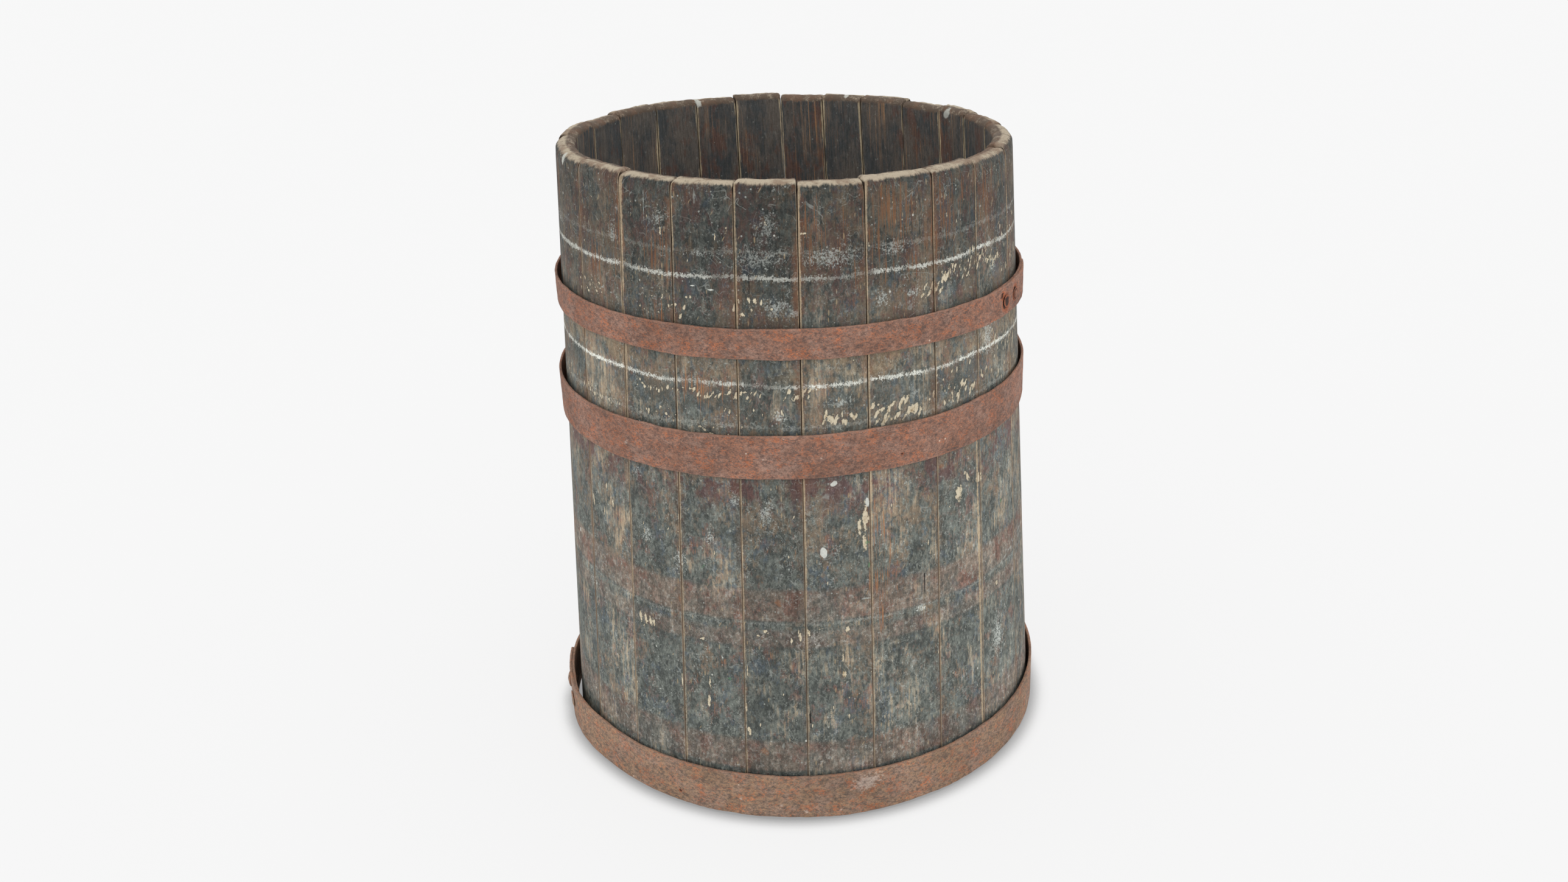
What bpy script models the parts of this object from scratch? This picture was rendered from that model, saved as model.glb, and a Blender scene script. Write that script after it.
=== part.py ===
"""Open oak vat: straight tapered staves round a board bottom, held by three riveted iron hoops.

Metres, +Z up. The origin is the centre of the foot circle, on the floor. Angles turn about +Z from +X, and the
front of the vat faces -Y.
"""
import math

import bmesh
import bpy
from mathutils import Matrix, Vector

# The body of the vat
HEIGHT = 0.765
RIM_RADIUS = 0.270
FOOT_RADIUS = 0.309
WALL = 0.024
RIM_TILT = 0.006  # how much lower the rim is at +X, and higher at -X
STAVE_SHARES = (78, 69, 70, 66, 71, 82, 68, 84, 73, 72, 73, 58, 69, 69, 58, 62, 67, 61, 68, 72, 70, 79, 79, 79)
FIRST_JOINT = math.radians(-147.6)
JOINT_LEAN = math.radians(2.5)  # how far a joint turns about the axis from its foot to its rim
JOINT_GAP = 0.0004
END_UNEVENNESS = 0.0015
RIM_ROUNDING = 0.009
ROUNDING_STEPS = 3
FOOT_CHAMFER = 0.003
CHIME_BEVEL = 0.012
CHIME_HEIGHT = 0.025
STAVE_ARC_STEPS = 3

# The bottom: boards let into a groove round the staves, and dowelled edge to edge
CROZE_LOW = 0.0465
CROZE_HIGH = 0.0535
CROZE_DEPTH = 0.006
CLEARANCE = 0.0003
BOARD_COUNT = 6
BOARD_THICKNESS = 0.020
BOARD_EDGE_GAP = 0.0011  # between the boards' rim and the staves
BOARD_TURN = math.radians(14)
TONGUE_REACH = 0.0050
HEAD_ARC_STEPS = 72
DOWEL_RADIUS = 0.005
DOWEL_LENGTH = 0.050
DOWEL_REACH = 0.100  # from the middle of a board to each of its two dowels
DOWEL_SIDES = 16

# The hoops: each one is a flat iron strap wound once round and riveted where its ends lap
HOOP_ARC_STEPS = 72
HOOP_FIT = 0.0008
HOOP_SLACK = 0.0020  # how far a hoop hangs off the staves at -X
LAYER_GAP = 0.0003
LAP_RAMP = math.radians(20)
HOOPS = {
    "upper_hoop": {
        "bottom": 0.577, "width": 0.035, "thickness": 0.0030, "tilt": 0.005, "slack": HOOP_SLACK,
        "lap_end": math.radians(-8), "lap": math.radians(28), "turn": -1, "stand_off": 0.0015,
        "rivets": (math.radians(-31), math.radians(-25)), "head": (0.0070, 0.0014),
    },
    "middle_hoop": {
        "bottom": 0.441, "width": 0.052, "thickness": 0.0030, "tilt": 0.001, "slack": HOOP_SLACK,
        "lap_end": math.radians(90), "lap": math.radians(22), "turn": 1, "stand_off": 0.0015,
        "rivets": (math.radians(96), math.radians(106)), "head": (0.0095, 0.0035),
    },
    "lower_hoop": {
        "bottom": 0.003, "width": 0.060, "thickness": 0.0035, "tilt": 0.0, "slack": 0.0,
        "lap_end": math.radians(-180), "lap": math.radians(20), "turn": 1, "stand_off": 0.0045,
        "rivets": (math.radians(-174), math.radians(-165)), "head": (0.0110, 0.0040),
    },
}

# The rivets: a shank through both layers of a lap, a domed head outside and a hammered tail inside
SHANK_RADIUS = 0.0032
HOLE_RADIUS = 0.0036
TAIL_RADIUS = 0.0055
TAIL_THICKNESS = 0.0010
RIVET_SEAT = 0.0004
RIVET_SIDES = 16
DOME_STEPS = 4

OAK = (0.115, 0.098, 0.080)
HEAD_OAK = (0.085, 0.072, 0.060)
DOWEL_OAK = (0.300, 0.200, 0.110)
HOOP_IRON = (0.205, 0.085, 0.052)
RIVET_IRON = (0.150, 0.075, 0.052)


def outer_radius(z):
    """Radius of the staves' outside at height z."""
    return FOOT_RADIUS + (RIM_RADIUS - FOOT_RADIUS) * z / HEIGHT


def ring_point(radius, angle, z):
    return Vector((radius * math.cos(angle), radius * math.sin(angle), z))


def make_material(name, colour, roughness, metallic=0.0):
    material = bpy.data.materials.new(name)
    material.use_nodes = True
    material.diffuse_color = (*colour, 1.0)
    shader = material.node_tree.nodes["Principled BSDF"]
    shader.inputs["Base Color"].default_value = (*colour, 1.0)
    shader.inputs["Roughness"].default_value = roughness
    shader.inputs["Metallic"].default_value = metallic
    return material


def place(name, mesh, parent, material=None):
    """A new object for the mesh, under the parent, with a material if one is given."""
    piece = bpy.data.objects.new(name, mesh)
    bpy.context.scene.collection.objects.link(piece)
    piece.parent = parent
    if material:
        if not mesh.materials:
            mesh.materials.append(None)
        piece.material_slots[0].link = "OBJECT"
        piece.material_slots[0].material = material
    return piece


def mesh_from(name, bm, sharp=math.radians(35)):
    """A closed mesh with its faces pointing out and its round stretches smooth."""
    bmesh.ops.recalc_face_normals(bm, faces=bm.faces[:])
    mesh = bpy.data.meshes.new(name)
    bm.to_mesh(mesh)
    bm.free()
    mesh.shade_smooth()
    mesh.set_sharp_from_angle(angle=sharp)
    return mesh


def bridge(bm, loops, closed):
    """Faces between each ring of points and the next; caps on the first and last unless the rings close up."""
    count = len(loops[0])
    spans = len(loops) if closed else len(loops) - 1
    for i in range(spans):
        near, far = loops[i], loops[(i + 1) % len(loops)]
        for j in range(count):
            k = (j + 1) % count
            bm.faces.new((near[j], near[k], far[k], far[j]))
    if not closed:
        bm.faces.new(loops[0][::-1])
        bm.faces.new(loops[-1])


# ---- Staves ----

def joint_angles():
    """Angle of each joint at mid height, with the first one again a turn later."""
    angles = [FIRST_JOINT - JOINT_LEAN / 2]
    for share in STAVE_SHARES:
        angles.append(angles[-1] + math.tau * share / sum(STAVE_SHARES))
    return angles


def joint_plane(angle):
    """Normal and offset of the flat face between two staves whose joint is at this angle at mid height."""
    foot = ring_point(FOOT_RADIUS, angle - JOINT_LEAN / 2, 0.0)
    rim = ring_point(RIM_RADIUS, angle + JOINT_LEAN / 2, HEIGHT)
    normal = (rim - foot).cross(ring_point(1.0, angle, 0.0)).normalized()
    return normal, normal.dot((foot + rim) / 2)


def angle_on_plane(plane, side, radius, z, near):
    """Angle at which a circle of this radius and height meets a joint face moved half the gap to one side."""
    normal, offset = plane
    flat = math.hypot(normal.x, normal.y)
    facing = math.atan2(normal.y, normal.x)
    lean = math.acos((offset + side * JOINT_GAP / 2 - normal.z * z) / (radius * flat))
    found = min((facing + lean, facing - lean), key=lambda a: abs(math.remainder(a - near, math.tau)))
    return near + math.remainder(found - near, math.tau)


def stave_profile(end):
    """Radius and height of the points round a stave's long section, for a stave that ends at this height."""
    shoulder = end - RIM_ROUNDING
    outside, inside = outer_radius(shoulder), outer_radius(shoulder) - WALL
    points = [(outer_radius(0) - FOOT_CHAMFER, 0.0), (outer_radius(FOOT_CHAMFER), FOOT_CHAMFER)]
    turns = [math.pi / 2 * i / ROUNDING_STEPS for i in range(ROUNDING_STEPS + 1)]
    for turn in turns:
        points.append((outside - RIM_ROUNDING * (1 - math.cos(turn)), shoulder + RIM_ROUNDING * math.sin(turn)))
    for turn in reversed(turns):
        points.append((inside + RIM_ROUNDING * (1 - math.cos(turn)), shoulder + RIM_ROUNDING * math.sin(turn)))
    croze = outer_radius(CROZE_LOW) - WALL
    points += [
        (croze, CROZE_HIGH),
        (croze + CROZE_DEPTH, CROZE_HIGH),
        (croze + CROZE_DEPTH, CROZE_LOW),
        (croze, CROZE_LOW),
        (outer_radius(CHIME_HEIGHT) - WALL, CHIME_HEIGHT),
        (outer_radius(0) - WALL + CHIME_BEVEL, 0.0),
    ]
    return points


def stave_mesh(name, first, last, unevenness):
    """One stave between two joints, as long sections set side by side round an arc."""
    planes = joint_plane(first), joint_plane(last)
    bm = bmesh.new()
    columns = []
    for step in range(STAVE_ARC_STEPS + 1):
        share = step / STAVE_ARC_STEPS
        middle = first + (last - first) * share
        end = HEIGHT - RIM_TILT * math.cos(middle + JOINT_LEAN / 2) + unevenness
        column = []
        for radius, z in stave_profile(end):
            left = angle_on_plane(planes[0], 1, radius, z, first)
            right = angle_on_plane(planes[1], -1, radius, z, last)
            column.append(bm.verts.new(ring_point(radius, left + (right - left) * share, z)))
        columns.append(column)
    bridge(bm, columns, closed=False)
    return mesh_from(name, bm)


def add_staves(parent):
    angles = joint_angles()
    for i, (first, last) in enumerate(zip(angles, angles[1:])):
        name = f"stave_{i + 1:02d}"
        shade = 1 + 0.25 * math.sin(2.4 * i)
        material = make_material(f"{name}_oak", [shade * c for c in OAK], 0.85)
        mesh = stave_mesh(name, first, last, END_UNEVENNESS * math.sin(2.4 * i + 1))
        place(name, mesh, parent, material)


# ---- Bottom ----

def head_disc():
    """The whole bottom before it is parted into boards: a disc with a tongue round its edge."""
    middle = (CROZE_LOW + CROZE_HIGH) / 2
    low, high = middle - BOARD_THICKNESS / 2, middle + BOARD_THICKNESS / 2
    rim = outer_radius(high) - WALL - BOARD_EDGE_GAP
    tongue = rim + TONGUE_REACH
    profile = [
        (0.0, low), (rim, low), (rim, CROZE_LOW + CLEARANCE), (tongue, CROZE_LOW + CLEARANCE),
        (tongue, CROZE_HIGH - CLEARANCE), (rim, CROZE_HIGH - CLEARANCE), (rim, high), (0.0, high),
    ]
    bm = bmesh.new()
    verts = [bm.verts.new((radius, 0.0, z)) for radius, z in profile]
    edges = [bm.edges.new(pair) for pair in zip(verts, verts[1:])]
    bmesh.ops.spin(bm, geom=verts + edges, cent=(0, 0, 0), axis=(0, 0, 1), angle=math.tau, steps=HEAD_ARC_STEPS)
    bmesh.ops.remove_doubles(bm, verts=bm.verts[:], dist=1e-6)
    return bm


def cut_flat(bm, point, normal):
    """Removes what lies past a plane and closes the cut."""
    geometry = bm.verts[:] + bm.edges[:] + bm.faces[:]
    cut = bmesh.ops.bisect_plane(bm, geom=geometry, plane_co=point, plane_no=normal, clear_outer=True)
    rim = [item for item in cut["geom_cut"] if isinstance(item, bmesh.types.BMEdge)]
    bmesh.ops.edgeloop_fill(bm, edges=rim)


def dowel_cutter(name, joints, parent):
    """Holes for the dowels of these joints, each a little wider and longer than its dowel."""
    bm = bmesh.new()
    for joint in joints:
        for end in (-1, 1):
            spot = Matrix.Translation((joint, end * DOWEL_REACH, (CROZE_LOW + CROZE_HIGH) / 2))
            bmesh.ops.create_cone(
                bm, cap_ends=True, segments=DOWEL_SIDES, depth=DOWEL_LENGTH + 2 * CLEARANCE,
                radius1=DOWEL_RADIUS + CLEARANCE, radius2=DOWEL_RADIUS + CLEARANCE,
                matrix=spot @ Matrix.Rotation(math.pi / 2, 4, "Y"),
            )
    cutter = place(name, mesh_from(name, bm), parent)
    cutter.hide_render = True
    cutter.display_type = "WIRE"
    return cutter


def subtract(piece, cutter):
    cut = piece.modifiers.new("holes", "BOOLEAN")
    cut.operation = "DIFFERENCE"
    cut.object = cutter


def add_bottom(parent):
    turned = bpy.data.objects.new("head", None)
    bpy.context.scene.collection.objects.link(turned)
    turned.parent = parent
    turned.rotation_euler.z = BOARD_TURN
    half = outer_radius(CROZE_LOW) - WALL + TONGUE_REACH
    width = 2 * half / BOARD_COUNT
    joints = [-half + width * i for i in range(BOARD_COUNT + 1)]
    for i in range(BOARD_COUNT):
        name = f"head_board_{i + 1}"
        bm = head_disc()
        if i > 0:
            cut_flat(bm, (joints[i] + CLEARANCE / 2, 0, 0), (-1, 0, 0))
        if i < BOARD_COUNT - 1:
            cut_flat(bm, (joints[i + 1] - CLEARANCE / 2, 0, 0), (1, 0, 0))
        material = make_material(f"{name}_oak", [(1 + 0.15 * math.sin(2.1 * i)) * c for c in HEAD_OAK], 0.85)
        board = place(name, mesh_from(name, bm), turned, material)
        inner_joints = [joint for joint in (joints[i], joints[i + 1]) if abs(joint) < half - width / 2]
        subtract(board, dowel_cutter(f"{name}_holes", inner_joints, turned))
    add_dowels(turned, joints[1:-1])


def add_dowels(parent, joints):
    bm = bmesh.new()
    bmesh.ops.create_cone(
        bm, cap_ends=True, segments=DOWEL_SIDES, radius1=DOWEL_RADIUS, radius2=DOWEL_RADIUS, depth=DOWEL_LENGTH,
    )
    mesh = mesh_from("dowel", bm)
    material = make_material("dowel_oak", DOWEL_OAK, 0.7)
    spots = [(joint, end * DOWEL_REACH) for joint in joints for end in (-1, 1)]
    for i, (x, y) in enumerate(spots):
        dowel = place(f"dowel_{i + 1:02d}", mesh, parent, material)
        dowel.location = (x, y, (CROZE_LOW + CROZE_HIGH) / 2)
        dowel.rotation_euler.y = math.pi / 2


# ---- Hoops ----

def smooth(value):
    """0 below 0, 1 above 1, and an even curve between."""
    value = min(max(value, 0.0), 1.0)
    return value * value * (3 - 2 * value)


def lap_middle(hoop):
    return hoop["lap_end"] + hoop["turn"] * hoop["lap"] / 2


def hoop_inside(hoop, angle):
    """Radius of the hoop's inner layer: clear of the staves, with slack at -X and a stand-off at the lap."""
    bottom = hoop_bottom(hoop, angle)
    away = abs(math.remainder(angle - lap_middle(hoop), math.tau))
    lifted = 1 - smooth((away - hoop["lap"] / 2) / LAP_RAMP)
    slack = hoop["slack"] * (1 - math.cos(angle)) / 2
    return outer_radius(bottom) + HOOP_FIT + slack + hoop["stand_off"] * lifted


def hoop_bottom(hoop, angle):
    return hoop["bottom"] - hoop["tilt"] * math.cos(angle)


def hoop_mesh(name, hoop):
    """The strap, from its outer end round the vat and in under that end."""
    bm = bmesh.new()
    length = math.tau + hoop["lap"]
    steps = round(HOOP_ARC_STEPS * length / math.tau)
    sections = []
    for step in range(steps + 1):
        run = length * step / steps
        angle = hoop["lap_end"] + hoop["turn"] * run
        over = 1 - smooth((run - hoop["lap"]) / LAP_RAMP)
        inner = hoop_inside(hoop, angle) + over * (hoop["thickness"] + LAYER_GAP)
        outer = inner + hoop["thickness"]
        low = hoop_bottom(hoop, angle)
        high = low + hoop["width"]
        corners = ((inner, low), (outer, low), (outer, high), (inner, high))
        sections.append([bm.verts.new(ring_point(radius, angle, z)) for radius, z in corners])
    bridge(bm, sections, closed=False)
    return mesh_from(name, bm)


def radial_frame(angle, radius, z):
    """A place on the vat whose +Z points straight out from the axis."""
    turn = Matrix.Rotation(angle, 4, "Z") @ Matrix.Rotation(math.pi / 2, 4, "Y")
    return Matrix.Translation(ring_point(radius, angle, z)) @ turn


def hole_cutter(name, hoop, parent):
    bm = bmesh.new()
    for angle in hoop["rivets"]:
        middle = hoop_inside(hoop, angle) + hoop["thickness"]
        spot = radial_frame(angle, middle, hoop_bottom(hoop, angle) + hoop["width"] / 2)
        bmesh.ops.create_cone(
            bm, cap_ends=True, segments=RIVET_SIDES, radius1=HOLE_RADIUS, radius2=HOLE_RADIUS,
            depth=6 * hoop["thickness"], matrix=spot,
        )
    cutter = place(name, mesh_from(name, bm), parent)
    cutter.hide_render = True
    cutter.display_type = "WIRE"
    return cutter


def rivet_mesh(name, grip, head_radius, head_height):
    """A rivet along Z: tail below zero, shank up through the grip, and a domed head above it."""
    profile = [
        (0.0, -TAIL_THICKNESS), (TAIL_RADIUS * 0.8, -TAIL_THICKNESS), (TAIL_RADIUS, -TAIL_THICKNESS / 2),
        (TAIL_RADIUS, 0.0), (SHANK_RADIUS, 0.0), (SHANK_RADIUS, grip), (head_radius, grip),
    ]
    for step in range(1, DOME_STEPS + 1):
        turn = math.pi / 2 * step / DOME_STEPS
        profile.append((head_radius * math.cos(turn), grip + head_height * math.sin(turn)))
    profile[-1] = (0.0, grip + head_height)
    bm = bmesh.new()
    verts = [bm.verts.new((radius, 0.0, z)) for radius, z in profile]
    edges = [bm.edges.new(pair) for pair in zip(verts, verts[1:])]
    bmesh.ops.spin(bm, geom=verts + edges, cent=(0, 0, 0), axis=(0, 0, 1), angle=math.tau, steps=RIVET_SIDES)
    bmesh.ops.remove_doubles(bm, verts=bm.verts[:], dist=1e-6)
    return mesh_from(name, bm)


def add_hoops(parent):
    iron = make_material("hoop_iron", HOOP_IRON, 0.9)
    rivet_iron = make_material("rivet_iron", RIVET_IRON, 0.85)
    for name, hoop in HOOPS.items():
        strap = place(name, hoop_mesh(name, hoop), parent, iron)
        subtract(strap, hole_cutter(f"{name}_holes", hoop, parent))
        grip = 2 * hoop["thickness"] + LAYER_GAP + 2 * RIVET_SEAT
        mesh = rivet_mesh(f"{name}_rivet", grip, *hoop["head"])
        for i, angle in enumerate(hoop["rivets"]):
            rivet = place(f"{name}_rivet_{i + 1}", mesh, parent, rivet_iron)
            seat = hoop_inside(hoop, angle) - RIVET_SEAT
            rivet.matrix_local = radial_frame(angle, seat, hoop_bottom(hoop, angle) + hoop["width"] / 2)


def main():
    for old in list(bpy.data.objects):
        bpy.data.objects.remove(old, do_unlink=True)
    vat = bpy.data.objects.new("vat", None)
    bpy.context.scene.collection.objects.link(vat)
    add_staves(vat)
    add_bottom(vat)
    add_hoops(vat)


main()
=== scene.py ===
import itertools
import math

import bmesh
import bpy
import numpy as np
from mathutils import Matrix, Vector
from mathutils.bvhtree import BVHTree


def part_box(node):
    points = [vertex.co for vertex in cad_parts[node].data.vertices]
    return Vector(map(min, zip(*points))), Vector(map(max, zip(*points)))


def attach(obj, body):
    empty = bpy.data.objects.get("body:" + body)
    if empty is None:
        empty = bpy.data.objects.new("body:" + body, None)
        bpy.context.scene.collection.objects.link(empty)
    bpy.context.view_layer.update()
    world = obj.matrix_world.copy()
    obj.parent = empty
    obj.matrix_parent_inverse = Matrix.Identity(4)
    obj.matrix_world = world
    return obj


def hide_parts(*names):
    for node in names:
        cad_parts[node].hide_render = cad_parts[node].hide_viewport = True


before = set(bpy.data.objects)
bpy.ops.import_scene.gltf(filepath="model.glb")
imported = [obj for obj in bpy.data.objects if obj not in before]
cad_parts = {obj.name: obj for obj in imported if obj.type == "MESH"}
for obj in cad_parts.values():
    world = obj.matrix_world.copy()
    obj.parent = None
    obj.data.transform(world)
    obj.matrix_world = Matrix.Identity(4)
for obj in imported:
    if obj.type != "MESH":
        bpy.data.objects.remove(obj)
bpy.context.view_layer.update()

MM = 0.001
STAVES = sorted(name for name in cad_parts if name.startswith("stave_"))
BOARDS = sorted(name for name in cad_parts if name.startswith("head_board_"))
DOWELS = sorted(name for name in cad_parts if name.startswith("dowel_"))

# Staves, in metres
RIM_ROUNDING = 0.009
FOOT_ROUNDING = 0.003
CHIME_HEIGHT = 0.025
CHIME_BEVEL = 0.012
CROZE = (0.0465, 0.0535)
CROZE_DEPTH = 0.006
SIDE_ROUNDING = (0.0020, 0.0055)  # of the corners at the rim
CORNER_ANGLE = 0.03  # radians: points this near a stave's side are at its corner
EDGE_ROUNDING = 0.0009
LEAST_EDGE_ROUNDING = 0.00045
STEP_ACROSS = 0.0020
STEP_UP = 0.0033
WALL_LEVELS = (0.058, 0.738)
EDGE_STEPS = (0.0, 0.0005, 0.0012, 0.0022, 0.0036)
DEEP_STEPS = (0.0, 0.0007, 0.0020, 0.0055, 0.0090, 0.0120, 0.0150, 0.0185, 0.0220, 0.0233, 0.0240)
# Millimetres: up from the foot, and down from the end
FOOT_LEVELS = (0, 0.8, 2.0, 3.2, 5.0, 8.0, 12.0, 17.0, 21.0, 25.0, 30.0, 36.0, 42.0)
RIM_REACH = 36  # millimetres below a stave's end, past which nothing of the rim's finish shows
RIM_STEPS = (16, 13.5, 11.5, 9.7, 8.2, 6.8, 5.5, 4.3, 3.3, 2.4, 1.6, 0.9, 0.4, 0)

# Look of each stave, from the one that starts at the front left: how tan it is, and how light
# Their lightness is partly their own and partly painted light, which lightens the sixth to the eighth, at the
# right of the front
TONES = (
    (0.62, 1.11), (0.12, 0.98), (0.20, 0.98), (0.05, 0.83), (0.30, 1.00), (0.50, 1.03), (0.30, 1.17),
    (0.25, 1.23), (0.50, 1.06), (0.30, 0.98), (0.15, 0.92), (0.55, 1.05), (0.25, 0.95), (0.40, 1.02),
    (0.10, 0.90), (0.50, 1.00), (0.30, 1.04), (0.20, 0.94), (0.55, 1.03), (0.35, 0.98), (0.12, 0.92),
    (0.45, 1.05), (0.28, 0.97), (0.40, 1.00),
)
# Bare wood along the left edge of each stave, in millimetres: above the middle hoop, and below it
EDGE_WEAR = (
    (1.6, 1.6), (4, 1.9), (1.8, 2.4), (2.3, 1.8), (2.6, 2), (2.7, 2), (1.5, 1.7), (1.5, 3.4), (1.7, 1.6),
    (1.5, 1.5), (1.6, 2.2), (2.6, 1.8), (1.5, 1.5), (2, 3), (1.6, 1.6), (1.8, 1.9), (3.2, 1.9), (1.5, 1.5),
    (1.9, 1.8), (1.6, 2.6), (1.5, 1.7), (2.1, 1.9), (2.6, 1.8), (1.6, 1.9),
)
FAR_SIDE_WEAR = 0.3  # how much of that the stave on the other side of the joint has
WEAR_CHANGE = (0.40, 0.50)  # the heights between which one kind of wear gives way to the other
NOWHERE = -9.0  # what a mark's field is lowered by where the mark can't be


def srgb(*levels):
    """Linear colour for the usual 0 to 255 levels."""
    shares = [level / 255 for level in levels]
    return tuple(s / 12.92 if s <= 0.04045 else ((s + 0.055) / 1.055) ** 2.4 for s in shares)


# ---- Noise and grids ----

def lattice(ix, iy, iz, seed):
    """A fixed value from -1 to 1 for every whole-number point."""
    mixed = (ix * 73856093) ^ (iy * 19349663) ^ (iz * 83492791) ^ (seed * 2654435761)
    mixed = (mixed ^ (mixed >> 13)) * 1274126177
    mixed = mixed ^ (mixed >> 16)
    return (mixed & 0xFFFF) / 32767.5 - 1


def noise(points, size, seed=0):
    """Smooth noise from -1 to 1 with bumps of about this size, which may differ by axis."""
    scaled = points / np.broadcast_to(np.asarray(size, float), (3,))
    base = np.floor(scaled).astype(np.int64)
    part = scaled - base
    part = part * part * (3 - 2 * part)
    total = np.zeros(len(points))
    for corner in itertools.product((0, 1), repeat=3):
        weight = np.prod(np.where(np.array(corner) == 1, part, 1 - part), axis=1)
        total += weight * lattice(*(base + np.array(corner)).T, seed)
    return total


def smooth(value, low, high):
    """0 at low, 1 at high, with an even curve between."""
    share = np.clip((value - low) / (high - low), 0, 1)
    return share * share * (3 - 2 * share)


def steps_across(width, beside, count):
    """Places across a width: these from each side, and this many evenly between."""
    beside = np.array(beside)
    middle = np.linspace(beside[-1], width - beside[-1], count)
    return np.concatenate([beside[:-1], middle, width - beside[:-1][::-1]])


def round_corners(x, y, x_ends, y_ends, radius, chosen=True):
    """Points of a rectangle with its corners rounded, for the chosen points."""
    core_x = np.clip(x, x_ends[0] + radius, x_ends[1] - radius)
    core_y = np.clip(y, y_ends[0] + radius, y_ends[1] - radius)
    reach = np.hypot(x - core_x, y - core_y)
    pull = np.where(chosen & (reach > radius), radius / np.maximum(reach, 1e-9), 1.0)
    return core_x + (x - core_x) * pull, core_y + (y - core_y) * pull


def around(angle, radius, height):
    """World places at these angles, radii and heights."""
    return np.stack([radius * np.cos(angle), radius * np.sin(angle), height], axis=1)


def quads(grid, flip):
    """The corners of each face between the points of a grid."""
    corners = np.stack([grid[:-1, :-1], grid[1:, :-1], grid[1:, 1:], grid[:-1, 1:]], axis=-1).reshape(-1, 4)
    return corners[:, ::-1] if flip else corners


def bar_grid(wide, deep, long):
    """Whole-number places (i, j, k) on the surface of a box of cells, and the corners of each face."""
    ids = np.full((wide + 1, deep + 1, long + 1), -1)
    shell = np.ones(ids.shape, bool)
    shell[1:-1, 1:-1, 1:-1] = False
    ids[shell] = np.arange(shell.sum())
    sides = (
        quads(ids[0], True), quads(ids[-1], False), quads(ids[:, 0], False), quads(ids[:, -1], True),
        quads(ids[:, :, 0], True), quads(ids[:, :, -1], False),
    )
    return np.argwhere(shell), np.concatenate(sides)


# ---- Pieces ----

def link(name, data):
    """An object in the scene that shows this mesh, lamp or camera."""
    made = bpy.data.objects.new(name, data)
    bpy.context.scene.collection.objects.link(made)
    return made


def add_fields(mesh, fields):
    """Keeps each array as an attribute of the mesh's points."""
    for field, values in fields.items():
        kind, key = ("FLOAT_VECTOR", "vector") if values.ndim == 2 else ("FLOAT", "value")
        mesh.attributes.new(field, kind, "POINT").data.foreach_set(key, values.astype(np.float32).ravel())


def add_mesh(name, points, faces, fields):
    """A smooth object from arrays, with its faces turned out."""
    a, b, c, d = (points[faces[:, n]] for n in range(4))
    volume = np.einsum("ij,ij->i", a, np.cross(b, c)).sum() + np.einsum("ij,ij->i", a, np.cross(c, d)).sum()
    if volume < 0:
        faces = faces[:, ::-1]
    mesh = bpy.data.meshes.new(name)
    mesh.vertices.add(len(points))
    mesh.vertices.foreach_set("co", points.astype(np.float32).ravel())
    mesh.loops.add(faces.size)
    mesh.loops.foreach_set("vertex_index", faces.astype(np.int32).ravel())
    mesh.polygons.add(len(faces))
    mesh.polygons.foreach_set("loop_start", np.arange(0, faces.size, 4, dtype=np.int32))
    mesh.update(calc_edges=True)
    mesh.shade_smooth()
    add_fields(mesh, fields)
    return link(name, mesh)


def push_out(piece, distance):
    """Moves each point of a piece along its normal."""
    mesh = piece.data
    points = np.zeros(len(mesh.vertices) * 3, np.float32)
    normals = np.zeros(len(mesh.vertices) * 3, np.float32)
    mesh.vertices.foreach_get("co", points)
    mesh.vertex_normals.foreach_get("vector", normals)
    moved = points.reshape(-1, 3) + normals.reshape(-1, 3) * distance[:, None]
    mesh.vertices.foreach_set("co", moved.astype(np.float32).ravel())
    mesh.update()


def paint(piece, *materials):
    piece.data.materials.clear()
    for material in materials:
        piece.data.materials.append(material)


def keep(piece, node, slot, *materials):
    """Stands the piece in for a CAD node, with its finish."""
    paint(piece, *materials)
    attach(piece, "root")
    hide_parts(node)


def cad_points(name):
    return np.array([vertex.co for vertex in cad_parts[name].data.vertices])


# ---- Marks on the staves ----
# Each mark: angle in degrees, height, width and length in millimetres, and its lean in degrees.

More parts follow.
